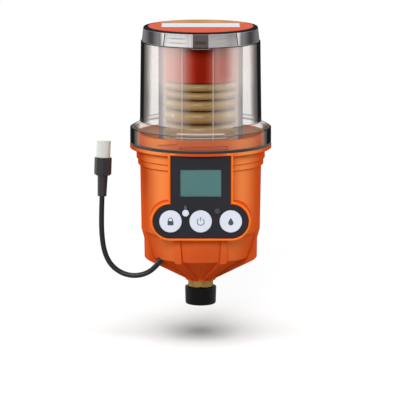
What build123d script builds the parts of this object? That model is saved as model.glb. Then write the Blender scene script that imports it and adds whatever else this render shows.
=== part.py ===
"""Automatic single-point grease lubricator, electromechanical, with a clear screw-on cover.

A moulded housing carries the control panel at its front and the brass outlet below. Its collar holds
a bellows full of grease under a follower cup, and a clear cover screws over both. Inside the housing a
motor turns a cam through two gear stages, and the cam drives a plunger pump above the outlet's valve.

Frame: millimetres, +Z up, origin on the axis at the lower face of the outlet's hexagon, with the
control panel facing -Y.
"""

import os
from math import asin, cos, degrees, pi, radians, sin, sqrt, tan

from build123d import *

os.makedirs("parts", exist_ok=True)

# ------------------------------------------------------------------ clearances and common walls
RUNNING_CLEARANCE = 0.05  # radial, shaft in a bearing or plunger in its barrel
LOOSE_CLEARANCE = 0.3  # between pieces that move past each other
FIT_CLEARANCE = 0.1  # between moulded pieces that drop into each other

# ------------------------------------------------------------------ outlet fitting and its valve
HEX_ACROSS_FLATS = 19.0
HEX_HEIGHT = 5.3
HEX_CHAMFER = 1.4
THREAD_RADIUS = 6.6
THREAD_LENGTH = 11.0
THREAD_CHAMFER = 0.8
STEM_RADIUS = 6.0
STEM_LENGTH = 9.7
INLET_RADIUS = 1.5
CHAMBER_RADIUS = 2.8
CHAMBER_TOP = 6.7
BALL_RADIUS = 2.2
SPRING_SEAT_THICKNESS = 1.6
CHECK_SPRING_WIRE = 0.25
CHECK_SPRING_TURNS = 4

# ------------------------------------------------------------------ outlet cap
CAP_RADIUS = 11.9
CAP_LENGTH = 13.5
CAP_DRAFT = 0.35
CAP_BORE_RADIUS = 7.8
CAP_FLOOR = 1.8
CAP_EDGE_RADIUS = 1.4

# ------------------------------------------------------------------ housing
NECK_RADIUS = 11.4
NECK_HEIGHT = 1.6
FUNNEL_INSET = 6.3  # radii inside the barrel's are given as insets from it
FUNNEL_TOP = 25.0
FUNNEL_BULGE = -1.6
LOWER_WALL_HEIGHT = 20.2
BARREL_RADIUS = 44.9
BARREL_LENGTH = 49.3
BARREL_FLARE = 0.85
STEP_RING_WIDTHS = (1.65, 2.75)  # beyond the barrel
STEP_RING_HEIGHT = 4.6
UPPER_RING_HEIGHT = 7.6
RING_EDGE_RADIUS = 0.8
FLANGE_MARGIN = 0.25  # beyond the cover's skirt
FLANGE_THICKNESS = 3.0
COLLAR_STEP = 3.15  # beyond the barrel's top
COLLAR_WALL = 2.7
LEDGE_WIDTH = 2.9
COLLAR_HEIGHT = 8.7
HOUSING_WALL = 2.5
SIDE_BLOCK_WIDTH = 32.0
SIDE_BLOCK_INSET = 2.3
SIDE_BLOCK_DROP = 1.8  # below the funnel's top
SIDE_BLOCK_SHOULDER = 7.7
SIDE_BLOCK_CHAMFER = 1.2
RIB_WIDTH = 5.3
RIB_INSET = 2.9
RIB_PROUD = 0.4
RIB_DROP = 0.9  # below the funnel's top
ROOT_DEPTH = 4.0  # how far ribs and blocks reach into the wall
WALL_BEND = 3.0  # half height of the bend under the barrel
RIB_AZIMUTH = 23.6
DECK_DROP = 5.7  # from the flange's top to the deck's ledge
STEM_ENGAGEMENT = 2.0
FUNNEL_WALLS = (3.2, 2.6)
NECK_WALL = 1.5

# ------------------------------------------------------------------ control panel
PANEL_PROUD = 3.8  # of the panel's face beyond the barrel
PANEL_THICKNESS = 1.6
PANEL_TOP_DROP = 1.9  # below the flange's top
PANEL_UPPER_WIDTH = 44.6
PANEL_LOWER_WIDTH = 71.2
PANEL_LOWER_HEIGHT = 25.7
PANEL_LOWER_RISE = 13.3  # of the button row above the barrel's bottom
PANEL_LIP_WIDTH = 1.8
PANEL_LIP_RISE = 0.8
PANEL_LEDGE = 2.0
WINDOW_WIDTH = 30.3
WINDOW_HEIGHT = 20.4
WINDOW_DROP = 20.6  # below the panel's top
WINDOW_RECESS = 0.2
BUTTON_RADIUS = 8.3
BUTTON_PITCH = 22.4
BUTTON_PROUD = 0.9
BUTTON_TRAVEL = 0.6
BUTTON_FLANGE = 0.9
RESET_RADIUS = 2.5
RESET_X = -11.2
RESET_RISE = 6.2  # above the button row
LIGHT_RADIUS = 2.1
LIGHT_X = 12.3
LIGHT_RISE = 7.8
BOARD_THICKNESS = 1.6
BOARD_SETBACK = 4.2  # from the panel's back to the board's face
BOARD_DROP = 9.8  # below the panel's top
LOWER_POSTS = ((-11.2, -8.0), (11.2, -8.0))  # from the button row
UPPER_POSTS = ((-16.5, -14.7), (16.5, -14.7))  # from the window's centre
POST_RADIUS = 1.5
SWITCH_SIZE = 6.0
SWITCH_HEIGHT = 1.0

# ------------------------------------------------------------------ clear cover, its seal and label
SEAL_HEIGHT = 1.9
SEAL_WIDTH = 3.0
SEAL_CLEARANCE = 0.05
SKIRT_GAP = 2.25  # between the collar and the skirt
SKIRT_HEIGHT = 12.7
COVER_WALL = 2.0
SHOULDER_WIDTH = 7.35
SHOULDER_HEIGHT = 4.8
COVER_DRAFT = 0.9
CUP_HEADROOM = 6.2
COVER_STEP = 0.65
COVER_RIM_TAPER = 1.9
COVER_RIM_HEIGHT = 10.8
COVER_RIM_FILLET = 1.0
GRIP_PAD_DEPTH = 0.7  # shallow pads in the rim, at the front and the back
GRIP_PAD_ANGLES = (8.4, 37.0)  # each side of the grip bar
GRIP_PAD_HEIGHTS = (1.1, 9.0)  # above the rim's foot
GRIP_BAR_WIDTH = 12.0
GRIP_BAR_HEIGHTS = (-1.2, 9.8)
GRIP_BAR_INSET = 0.3
LABEL_MARGIN = 3.5
LABEL_THICKNESS = 0.3
THREAD_LEAD = 40.0  # the cover rises this much in one turn
LUG_COUNT = 3
LUG_ARC = 20.0
LUG_HEIGHT = 1.6
LUG_RADIAL = 1.5
LUG_GAP = 0.4

# ------------------------------------------------------------------ grease side
DECK_THICKNESS = 3.0
DECK_RING_WALL = 0.9
DECK_RING_HEIGHT = 4.0
SLEEVE_RADIUS = 31.7
SLEEVE_WALL = 1.2
SLEEVE_DROP = 3.2  # below the follower cup's top
BELLOWS_GAP = 0.4
BELLOWS_FOLD_DEPTH = 2.6
BELLOWS_FOLDS = (10.3, 9.8, 10.1, 8.2, 6.3, 6.9)  # fold pitches, from the base up
BELLOWS_NECK_RADIUS = 6.0
CUP_GAP = 1.1  # between the cup and the guide sleeve
CUP_WALL = 1.5
CUP_HEIGHT = 31.0
DECK_SCREW_INSET = 3.3
DECK_SCREW_COUNT = 3
DECK_SCREW_START = 90.0
SCREW_LENGTH = 13.0
SCREW_BOSS_RADIUS = 3.6
SCREW_BOSS_HEIGHT = 12.0
SCREW_RADIUS = 1.25
SCREW_HEAD_RADIUS = 2.6
SCREW_HEAD_HEIGHT = 1.8

# ------------------------------------------------------------------ drive
PUMP_RADIUS = 9.5
PLATE_GAP = 2.8  # above the reduction gear
SPIGOT_RADIUS = 7.0
SPIGOT_HEIGHT = 4.0
FEED_RADIUS = 6.5
FEED_BORE = 4.5
PUMP_CHANNEL = 2.0
PLUNGER_RADIUS = 2.5
PLUNGER_RISE = 21.5  # above the cavity's floor
BARREL_BOSS_RADIUS = 5.0
BARREL_BOSS_LENGTH = 11.0
PLUNGER_HEAD_RADIUS = 3.2
PLUNGER_HEAD = 1.6
PLUNGER_SPRING_WIRE = 0.35
PLUNGER_SPRING_TURNS = 3
PLATE_THICKNESS = 2.0
PLATE_RADIUS = 33.0
GEAR_MODULE = 0.7
PINION_TEETH = 12
REDUCTION_TEETH = 26
CAM_GEAR_TEETH = 28
GEAR_THICKNESS = 2.0
GEAR_BACKLASH = 0.06  # taken off each flank
CAM_SHAFT_X = 24.0
CAM_HUB_RADIUS = 3.0
CAM_HUB_HEIGHT = 1.7
REDUCTION_AZIMUTH = 120.0  # direction of the reduction gear's axle from the cam's
MOTOR_AZIMUTH = 135.0  # direction of the motor's shaft from the reduction gear's axle
CAM_RADIUS = 5.0
CAM_OFFSET = 1.2
CAM_THICKNESS = 4.0
AXLE_RADIUS = 1.25
MOTOR_RADIUS = 8.0
MOTOR_LENGTH = 26.0
MOTOR_SHAFT_RADIUS = 1.0

# ------------------------------------------------------------------ cable
CABLE_RADIUS = 2.0
CABLE_ROUTE = (  # from the left edge of the funnel's top
    (10.0, -21.9, 0.6),
    (3.8, -22.2, -7.6),
    (-4.6, -22.1, -12.3),
    (-14.1, -21.7, -13.2),
    (-23.2, -20.9, -10.1),
    (-30.2, -20.0, -3.6),
    (-34.2, -19.0, 5.7),
    (-35.9, -17.6, 18.0),
    (-36.1, -16.2, 32.0),
    (-35.6, -15.0, 46.7),
)
RELIEF_LENGTH = 15.6
RELIEF_RADII = (3.35, 3.9)
CONNECTOR_LENGTH = 13.6
CONNECTOR_RADIUS = 6.0
CONNECTOR_CAP_LENGTH = 12.7
CONNECTOR_CAP_RADIUS = 5.3
GROMMET_RADIUS = 2.9
GROMMET_LENGTH = 3.2


# ------------------------------------------------------------------ derived places
stem_top = HEX_HEIGHT + STEM_LENGTH
neck_top = HEX_HEIGHT + NECK_HEIGHT
cavity_floor = stem_top - STEM_ENGAGEMENT
funnel_radius = BARREL_RADIUS - FUNNEL_INSET
side_block_radius = BARREL_RADIUS - SIDE_BLOCK_INSET
side_block_bottom = FUNNEL_TOP - SIDE_BLOCK_DROP
rib_radius = BARREL_RADIUS - RIB_INSET
rib_top_radius = BARREL_RADIUS + RIB_PROUD
rib_bottom = FUNNEL_TOP - RIB_DROP
barrel_bottom = FUNNEL_TOP + LOWER_WALL_HEIGHT
barrel_top = barrel_bottom + BARREL_LENGTH
barrel_top_radius = BARREL_RADIUS + BARREL_FLARE
flange_bottom = barrel_top + STEP_RING_HEIGHT + UPPER_RING_HEIGHT
flange_top = flange_bottom + FLANGE_THICKNESS
collar_radius = barrel_top_radius + COLLAR_STEP
collar_inner = collar_radius - COLLAR_WALL
collar_top = flange_top + COLLAR_HEIGHT
ledge_inner = collar_inner - LEDGE_WIDTH
deck_ledge = flange_top - DECK_DROP
deck_screw_circle = ledge_inner - DECK_SCREW_INSET
skirt_inner = collar_radius + SKIRT_GAP
skirt_radius = skirt_inner + COVER_WALL
flange_radius = skirt_radius + FLANGE_MARGIN
ring_corners = (
    (barrel_top_radius + STEP_RING_WIDTHS[0], barrel_top),
    (barrel_top_radius + STEP_RING_WIDTHS[1], barrel_top + STEP_RING_HEIGHT),
    (flange_radius, flange_bottom),
)
cavity_radius = BARREL_RADIUS - HOUSING_WALL
panel_face = BARREL_RADIUS + PANEL_PROUD  # in front of the axis
panel_back = panel_face - PANEL_THICKNESS
lip_face = panel_face + PANEL_LIP_RISE
panel_top = flange_top - PANEL_TOP_DROP
panel_lower_centre = barrel_bottom + PANEL_LOWER_RISE
window_centre = panel_top - WINDOW_DROP
reset_height = panel_lower_centre + RESET_RISE
light_height = panel_lower_centre + LIGHT_RISE
board_top = panel_top - BOARD_DROP
post_places = [(x, panel_lower_centre + rise) for x, rise in LOWER_POSTS]
post_places += [(x, window_centre + rise) for x, rise in UPPER_POSTS]
board_face = panel_back - BOARD_SETBACK
deck_top = deck_ledge + DECK_THICKNESS
sleeve_bottom = deck_top + DECK_RING_HEIGHT
sleeve_inner = SLEEVE_RADIUS - SLEEVE_WALL
cup_radius = sleeve_inner - CUP_GAP
bellows_radius = cup_radius - BELLOWS_GAP
bellows_bottom = deck_top + LOOSE_CLEARANCE
bellows_top = bellows_bottom + sum(BELLOWS_FOLDS)
cup_bottom = bellows_top + LOOSE_CLEARANCE
cup_top = cup_bottom + CUP_HEIGHT
sleeve_top = cup_top - SLEEVE_DROP
skirt_bottom = flange_top + SEAL_HEIGHT + SEAL_CLEARANCE
skirt_top = flange_top + SKIRT_HEIGHT
cover_base = skirt_top + SHOULDER_HEIGHT
cover_base_radius = skirt_radius - SHOULDER_WIDTH
cover_top = cup_top + CUP_HEADROOM + COVER_WALL
cover_shoulder = cover_top - COVER_RIM_HEIGHT
cover_shoulder_radius = cover_base_radius - COVER_DRAFT
cover_rim_radius = cover_shoulder_radius - COVER_RIM_TAPER
rim_foot_radius = cover_shoulder_radius - COVER_STEP
grip_bar_chord = sqrt((cover_shoulder_radius - GRIP_BAR_INSET) ** 2 - GRIP_BAR_WIDTH**2 / 4)
grip_bar_middle = grip_bar_chord - COVER_WALL / 2
seat_top = CHAMBER_TOP + CHAMBER_RADIUS - INLET_RADIUS  # a 45 degree seat for the ball
ball_height = seat_top + INLET_RADIUS - BALL_RADIUS * sqrt(2) - FIT_CLEARANCE
spring_seat_bottom = -THREAD_LENGTH + THREAD_CHAMFER
check_spring_height = (
    ball_height - BALL_RADIUS - spring_seat_bottom - SPRING_SEAT_THICKNESS - 2 * CHECK_SPRING_WIRE
)
button_places = [(x, panel_lower_centre) for x in (-BUTTON_PITCH, 0, BUTTON_PITCH)]
plunger_head_face = CAM_SHAFT_X - CAM_OFFSET - CAM_RADIUS - LOOSE_CLEARANCE
plunger_tip = PUMP_CHANNEL + LOOSE_CLEARANCE
plunger_spring_length = (
    plunger_head_face - PLUNGER_HEAD - BARREL_BOSS_LENGTH - 2 * PLUNGER_SPRING_WIRE - FIT_CLEARANCE
)
plunger_level = cavity_floor + PLUNGER_RISE
cam_bottom = plunger_level - CAM_THICKNESS / 2
cam_gear_bottom = cam_bottom + CAM_THICKNESS + CAM_HUB_HEIGHT
reduction_bottom = cam_gear_bottom + GEAR_THICKNESS + 1
pump_top = reduction_bottom + GEAR_THICKNESS + PLATE_GAP
spigot_top = pump_top + SPIGOT_HEIGHT
plate_top = pump_top + PLATE_THICKNESS
gear_distance = GEAR_MODULE * (PINION_TEETH + CAM_GEAR_TEETH) / 2
motor_distance = GEAR_MODULE * (PINION_TEETH + REDUCTION_TEETH) / 2
reduction_place = (
    CAM_SHAFT_X + gear_distance * cos(radians(REDUCTION_AZIMUTH)),
    gear_distance * sin(radians(REDUCTION_AZIMUTH)),
)
motor_place = (
    reduction_place[0] + motor_distance * cos(radians(MOTOR_AZIMUTH)),
    reduction_place[1] + motor_distance * sin(radians(MOTOR_AZIMUTH)),
)
half_pinion_tooth = 180 / PINION_TEETH
lug_middle = collar_top - LUG_HEIGHT / 2 - THREAD_LEAD * LUG_ARC / 720 - LOOSE_CLEARANCE
route_start = Vector(-funnel_radius, 0, FUNNEL_TOP)
route_points = [route_start + Vector(*point) for point in CABLE_ROUTE]
cable_exit = Plane(origin=route_points[0], z_dir=route_points[1] - route_points[0])
connector_axis = Plane(origin=route_points[-1], z_dir=route_points[-1] - route_points[-2])


def save(builder, label):
    """Label a finished sub-part and write its STEP file."""
    builder.part.label = label
    export_step(builder.part, f"parts/{label}.step")


def facing(distance):
    """Plane parallel to the front, `distance` in front of the axis, with its normal towards -Y."""
    return Plane(origin=(0, -distance, 0), x_dir=(1, 0, 0), z_dir=(0, -1, 0))


def panel_outline(distance, grow, top=panel_top):
    """T-shaped outline of the control panel up to `top`, grown by `grow`, as a sketch facing -Y."""
    upper_height = top + grow - panel_lower_centre
    with BuildSketch(facing(distance)) as outline:
        with Locations((0, panel_lower_centre)):
            SlotOverall(PANEL_LOWER_WIDTH + 2 * grow, PANEL_LOWER_HEIGHT + 2 * grow)
        with Locations((0, panel_lower_centre + upper_height / 2)):
            Rectangle(PANEL_UPPER_WIDTH + 2 * grow, upper_height)
    return outline.sketch


def thread_lug(inner_radius, outer_radius, middle):
    """One lug of the cover's quick thread: a bar along a helix, centred on +X at height `middle`."""
    rise = THREAD_LEAD * LUG_ARC / 360
    with BuildPart() as lug:
        with BuildLine() as path:
            Helix(
                pitch=THREAD_LEAD,
                height=rise,
                radius=(inner_radius + outer_radius) / 2,
                center=(0, 0, middle - rise / 2),
            )
        with BuildSketch(Plane(origin=path.line @ 0, x_dir=(1, 0, 0), z_dir=path.line % 0)):
            Rectangle(outer_radius - inner_radius, LUG_HEIGHT)
        sweep(path=path.line, is_frenet=True)
    return Rot(0, 0, -LUG_ARC / 2) * lug.part


def gear_outline(teeth, place, height, turn=0.0):
    """Outline of a spur gear at `place`, with one tooth turned to `turn` degrees, at `height`."""
    pitch_radius = GEAR_MODULE * teeth / 2
    root_radius = pitch_radius - 1.1 * GEAR_MODULE
    tip_radius = pitch_radius + 0.85 * GEAR_MODULE
    half_tooth = pi * GEAR_MODULE / 4 - GEAR_BACKLASH
    spread = 0.42 * GEAR_MODULE
    with BuildSketch() as tooth:
        with BuildLine():
            right = ThreePointArc(
                (root_radius - spread, -half_tooth - spread),
                (pitch_radius, -half_tooth),
                (tip_radius, -half_tooth + spread),
            )
            Line(right @ 1, (tip_radius, half_tooth - spread))
            mirror(right, about=Plane.XZ)
            Line(right @ 0, (root_radius - spread, half_tooth + spread))
        make_face()
    with BuildSketch() as outline:
        Circle(root_radius)
        with PolarLocations(0, teeth):
            add(tooth.sketch)
    return Pos(*place, height) * Rot(0, 0, turn) * outline.sketch


def corner_radii(points):
    """Largest even arc at each corner of a cable's route: 0.45 of the shorter run beside it."""
    radii = []
    for before, corner, after in zip(points, points[1:], points[2:]):
        half_turn = radians((corner - before).get_angle(after - corner)) / 2
        shorter = min((corner - before).length, (after - corner).length)
        radii.append(0.45 * shorter / tan(half_turn))
    return radii


collar_lug = thread_lug(collar_radius - LOOSE_CLEARANCE, collar_radius + LUG_RADIAL, lug_middle)
cover_lug = thread_lug(
    collar_radius + LOOSE_CLEARANCE, skirt_inner + LOOSE_CLEARANCE, lug_middle - LUG_HEIGHT - LUG_GAP
)
cable_radii = corner_radii(route_points)

# ------------------------------------------------------------------ housing
rib_profile = (
    (NECK_RADIUS - ROOT_DEPTH, HEX_HEIGHT + 0.5),
    (NECK_RADIUS + 0.2, HEX_HEIGHT + 0.5),
    (rib_radius, rib_bottom),
    (rib_top_radius, barrel_bottom + WALL_BEND),
    (funnel_radius - ROOT_DEPTH, barrel_bottom + WALL_BEND),
    (NECK_RADIUS - ROOT_DEPTH, FUNNEL_TOP - ROOT_DEPTH),
)

with BuildPart() as housing:
    # Barrel, funnel and neck as one turned form.
    with BuildSketch(Plane.XZ):
        with BuildLine():
            Line((0, HEX_HEIGHT), (NECK_RADIUS, HEX_HEIGHT))
            Line((NECK_RADIUS, HEX_HEIGHT), (NECK_RADIUS, neck_top))
            ThreePointArc(
                (NECK_RADIUS, neck_top),
                ((NECK_RADIUS + funnel_radius) / 2 + 0.5, (neck_top + FUNNEL_TOP) / 2 - FUNNEL_BULGE),
                (funnel_radius, FUNNEL_TOP),
            )
            Polyline(
                (funnel_radius, FUNNEL_TOP),
                (BARREL_RADIUS - WALL_BEND * 0.6, barrel_bottom - WALL_BEND),
                (BARREL_RADIUS, barrel_bottom),
                (barrel_top_radius, barrel_top),
                (barrel_top_radius, flange_top),
                (collar_radius, flange_top),
                (collar_radius, collar_top),
                (0, collar_top),
                (0, HEX_HEIGHT),
            )
        make_face()
    revolve(axis=Axis.Z)
    # Flange with two step rings under it, each with a rounded lower edge.
    with BuildSketch(Plane.XZ) as rings:
        for ring_radius, ring_bottom in ring_corners:
            with Locations((0, ring_bottom)):
                Rectangle(ring_radius, flange_top - ring_bottom, align=(Align.MIN, Align.MIN))
        lower_corners = [rings.vertices().sort_by_distance(corner)[0] for corner in ring_corners]
        fillet(lower_corners, RING_EDGE_RADIUS)
    revolve(axis=Axis.Z)
    # Blocks at both sides, with sloping undersides that run down to the neck.
    with BuildSketch(Plane.XZ) as block_profile:
        with BuildLine():
            Polyline(
                (NECK_RADIUS - ROOT_DEPTH, neck_top - 0.4),
                (NECK_RADIUS + 0.4, neck_top - 0.4),
                (side_block_radius - SIDE_BLOCK_CHAMFER, side_block_bottom - SIDE_BLOCK_CHAMFER),
                (side_block_radius, side_block_bottom),
                (side_block_radius + 0.2, barrel_bottom - SIDE_BLOCK_SHOULDER),
                (BARREL_RADIUS, barrel_bottom),
                (funnel_radius - ROOT_DEPTH, barrel_bottom),
                (NECK_RADIUS - ROOT_DEPTH, FUNNEL_TOP - ROOT_DEPTH),
                close=True,
            )
        make_face()
    block_angle = degrees(asin(SIDE_BLOCK_WIDTH / 2 / side_block_radius))
    for start in (0, 180):
        revolve(
            Rot(0, 0, start - block_angle) * block_profile.sketch,
            axis=Axis.Z,
            revolution_arc=2 * block_angle,
        )
    # Radial ribs, front and back, with gussets down to the neck.
    for azimuth in (-90 - RIB_AZIMUTH, -90 + RIB_AZIMUTH, 90 - RIB_AZIMUTH, 90 + RIB_AZIMUTH):
        with BuildSketch(Plane(Rot(0, 0, azimuth) * Plane.XZ.location)):
            with BuildLine():
                Polyline(*rib_profile, close=True)
            make_face()
        extrude(amount=RIB_WIDTH / 2, both=True)
    # Boss that frames the control panel.
    extrude(panel_outline(0, PANEL_LIP_WIDTH), amount=lip_face)
    # Bosses for the deck's screws, on the wall of the cavity.
    with BuildSketch(Plane.XY.offset(deck_ledge - SCREW_BOSS_HEIGHT)):
        with PolarLocations(deck_screw_circle, DECK_SCREW_COUNT, start_angle=DECK_SCREW_START):
            Circle(SCREW_BOSS_RADIUS)
    screw_bosses = extrude(amount=SCREW_BOSS_HEIGHT, mode=Mode.PRIVATE)
    # Cavity for the drive, open at the top where the deck closes it.
    with BuildSketch(Plane.XZ):
        with BuildLine():
            Polyline(
                (0, cavity_floor),
                (NECK_RADIUS - NECK_WALL, cavity_floor),
                (funnel_radius - FUNNEL_WALLS[0], FUNNEL_TOP + FUNNEL_WALLS[1]),
                (cavity_radius, barrel_bottom + 1),
                (ledge_inner, barrel_top - ROOT_DEPTH),
                (ledge_inner, deck_ledge),
                (collar_inner, deck_ledge),
                (collar_inner, collar_top),
                (0, collar_top),
                close=True,
            )
        make_face()
    revolve(axis=Axis.Z, mode=Mode.SUBTRACT)
    add(screw_bosses)
    with Locations((0, 0, deck_ledge)):
        with PolarLocations(deck_screw_circle, DECK_SCREW_COUNT, start_angle=DECK_SCREW_START):
            Hole(SCREW_RADIUS, depth=SCREW_LENGTH - DECK_THICKNESS + 1)
    # Pocket for the panel, and the opening behind it for the board.
    extrude(panel_outline(panel_back, FIT_CLEARANCE), amount=flange_radius, mode=Mode.SUBTRACT)
    extrude(panel_outline(0, -PANEL_LEDGE, board_top + 5), amount=panel_back + 1, mode=Mode.SUBTRACT)
    # Bore for the outlet fitting's stem, and the cable's hole through the funnel.
    with BuildSketch(Plane.XY):
        Circle(STEM_RADIUS)
    extrude(amount=cavity_floor + 1, mode=Mode.SUBTRACT)
    with BuildSketch(cable_exit.offset(-GROMMET_LENGTH)):
        Circle(GROMMET_RADIUS)
    extrude(amount=2 * GROMMET_LENGTH, mode=Mode.SUBTRACT)
    # Lugs of the cover's thread around the collar.
    with PolarLocations(0, LUG_COUNT):
        add(collar_lug)
save(housing, "housing")

# ------------------------------------------------------------------ outlet fitting, valve and cap
with BuildPart() as outlet_fitting:
    with BuildSketch(Plane.XY):
        RegularPolygon(HEX_ACROSS_FLATS / 2, 6, major_radius=False, rotation=30)
    extrude(amount=HEX_HEIGHT)
    # A cone trims the lower corners of the hexagon.
    with BuildSketch(Plane.XZ):
        with BuildLine():
            Polyline(
                (0, -1),
                (HEX_ACROSS_FLATS / 2 - 0.2, -1),
                (HEX_ACROSS_FLATS / 2 - 0.2, 0),
                (HEX_ACROSS_FLATS / 2 + 3, HEX_CHAMFER * 1.6),
                (HEX_ACROSS_FLATS / 2 + 3, HEX_HEIGHT + 1),
                (0, HEX_HEIGHT + 1),
                close=True,
            )
        make_face()
    revolve(axis=Axis.Z, mode=Mode.INTERSECT)
    with BuildSketch(Plane.XY.offset(HEX_HEIGHT)):
        Circle(STEM_RADIUS)
    extrude(amount=STEM_LENGTH)
    with BuildSketch(Plane.XY):
        Circle(THREAD_RADIUS)
    extrude(amount=-THREAD_LENGTH)
    chamfer(outlet_fitting.faces().sort_by(Axis.Z)[0].edges(), THREAD_CHAMFER)
    # Inlet, ball seat and valve chamber along the axis.
    with BuildSketch(Plane.XZ):
        with BuildLine():
            Polyline(
                (0, stem_top),
                (INLET_RADIUS, stem_top),
                (INLET_RADIUS, seat_top),
                (CHAMBER_RADIUS, CHAMBER_TOP),
                (CHAMBER_RADIUS, -THREAD_LENGTH),
                (0, -THREAD_LENGTH),
                close=True,
            )
        make_face()
    revolve(axis=Axis.Z, mode=Mode.SUBTRACT)
save(outlet_fitting, "outlet_fitting")

with BuildPart() as check_ball:
    with Locations((0, 0, ball_height)):
        Sphere(BALL_RADIUS)
save(check_ball, "check_ball")

with BuildPart() as spring_seat:
    with BuildSketch(Plane.XY.offset(spring_seat_bottom)):
        Circle(CHAMBER_RADIUS)
        Circle(INLET_RADIUS, mode=Mode.SUBTRACT)
    extrude(amount=SPRING_SEAT_THICKNESS)
save(spring_seat, "spring_seat")

with BuildPart() as check_spring:
    coil_radius = CHAMBER_RADIUS - CHECK_SPRING_WIRE - LOOSE_CLEARANCE
    with BuildLine() as check_coil:
        Helix(
            pitch=check_spring_height / CHECK_SPRING_TURNS,
            height=check_spring_height,
            radius=coil_radius,
            center=(0, 0, spring_seat_bottom + SPRING_SEAT_THICKNESS + CHECK_SPRING_WIRE),
        )
    with BuildSketch(Plane(origin=check_coil.line @ 0, z_dir=check_coil.line % 0)):
        Rectangle(2 * CHECK_SPRING_WIRE, 2 * CHECK_SPRING_WIRE)
    sweep(path=check_coil.line, is_frenet=True)
save(check_spring, "check_spring")

with BuildPart() as outlet_cap:
    with BuildSketch(Plane.XZ):
        with BuildLine():
            Polyline(
                (0, -CAP_LENGTH),
                (CAP_RADIUS - CAP_DRAFT, -CAP_LENGTH),
                (CAP_RADIUS, -FIT_CLEARANCE),
                (CAP_BORE_RADIUS, -FIT_CLEARANCE),
                (CAP_BORE_RADIUS, CAP_FLOOR - CAP_LENGTH),
                (0, CAP_FLOOR - CAP_LENGTH),
                close=True,
            )
        make_face()
    revolve(axis=Axis.Z)
    fillet(outlet_cap.edges().group_by(Axis.Z)[0], CAP_EDGE_RADIUS)
    fillet(outlet_cap.edges().group_by(Axis.Z)[-1].sort_by(SortBy.RADIUS)[-1], CAP_EDGE_RADIUS / 3)
save(outlet_cap, "outlet_cap")

# ------------------------------------------------------------------ control panel
with BuildPart() as panel_plate:
    extrude(panel_outline(panel_back, 0), amount=PANEL_THICKNESS)
    with BuildSketch(facing(panel_back)):
        with Locations((0, window_centre)):
            Rectangle(WINDOW_WIDTH + 2 * FIT_CLEARANCE, WINDOW_HEIGHT + 2 * FIT_CLEARANCE)
        with Locations(*button_places):
            Circle(BUTTON_RADIUS + FIT_CLEARANCE)
        with Locations((RESET_X, reset_height)):
            Circle(RESET_RADIUS + FIT_CLEARANCE)
        with Locations((LIGHT_X, light_height)):
            Circle(LIGHT_RADIUS)
    extrude(amount=PANEL_THICKNESS, mode=Mode.SUBTRACT)
    # Posts that carry the circuit board.
    with BuildSketch(facing(board_face)):
        with Locations(*post_places):
            Circle(POST_RADIUS)
    extrude(amount=BOARD_SETBACK)
save(panel_plate, "panel_plate")

with BuildPart() as display_window:
    with BuildSketch(facing(panel_back + FIT_CLEARANCE)):
        with Locations((0, window_centre)):
            Rectangle(WINDOW_WIDTH, WINDOW_HEIGHT)
    extrude(amount=PANEL_THICKNESS - FIT_CLEARANCE - WINDOW_RECESS)
save(display_window, "display_window")

with BuildPart() as display_module:
    with BuildSketch(facing(board_face)):
        with Locations((0, window_centre)):
            RectangleRounded(WINDOW_WIDTH + 4, WINDOW_HEIGHT + 4, 1)
    extrude(amount=BOARD_SETBACK)
save(display_module, "display_module")

with BuildPart() as status_light:
    with BuildSketch(facing(board_face)):
        with Locations((LIGHT_X, light_height)):
            Circle(LIGHT_RADIUS - FIT_CLEARANCE)
    extrude(amount=BOARD_SETBACK + PANEL_THICKNESS)
save(status_light, "status_light")

with BuildPart() as circuit_board:
    board_sketch = panel_outline(board_face - BOARD_THICKNESS, -PANEL_LEDGE - 2, board_top)
    extrude(board_sketch, amount=BOARD_THICKNESS)
    # A switch behind each button.
    with BuildSketch(facing(board_face)):
        with Locations(*button_places, (RESET_X, reset_height)):
            RectangleRounded(SWITCH_SIZE, SWITCH_SIZE, 0.5)
    extrude(amount=SWITCH_HEIGHT)
save(circuit_board, "circuit_board")


def make_button(label, place, radius):
    """Write one push button: a cap through the panel, a flange behind it and a stem to its switch."""
    with BuildPart() as button:
        with BuildSketch(facing(panel_back - LOOSE_CLEARANCE)):
            with Locations(place):
                Circle(radius)
        extrude(amount=PANEL_THICKNESS + LOOSE_CLEARANCE + BUTTON_PROUD)
        chamfer(button.faces().sort_by(Axis.Y)[0].edges(), 0.3)
        with BuildSketch(facing(panel_back - LOOSE_CLEARANCE)):
            with Locations(place):
                Circle(radius + 0.7)
        extrude(amount=-BUTTON_FLANGE)
        with BuildSketch(facing(board_face + SWITCH_HEIGHT + BUTTON_TRAVEL + FIT_CLEARANCE)):
            with Locations(place):
                Circle(min(radius, 2.0))
        extrude(amount=panel_back - board_face - SWITCH_HEIGHT - BUTTON_TRAVEL - FIT_CLEARANCE)
    save(button, label)


for name, place in zip(("left_button", "centre_button", "right_button"), button_places):
    make_button(name, place, BUTTON_RADIUS)
make_button("reset_button", (RESET_X, reset_height), RESET_RADIUS)

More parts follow.
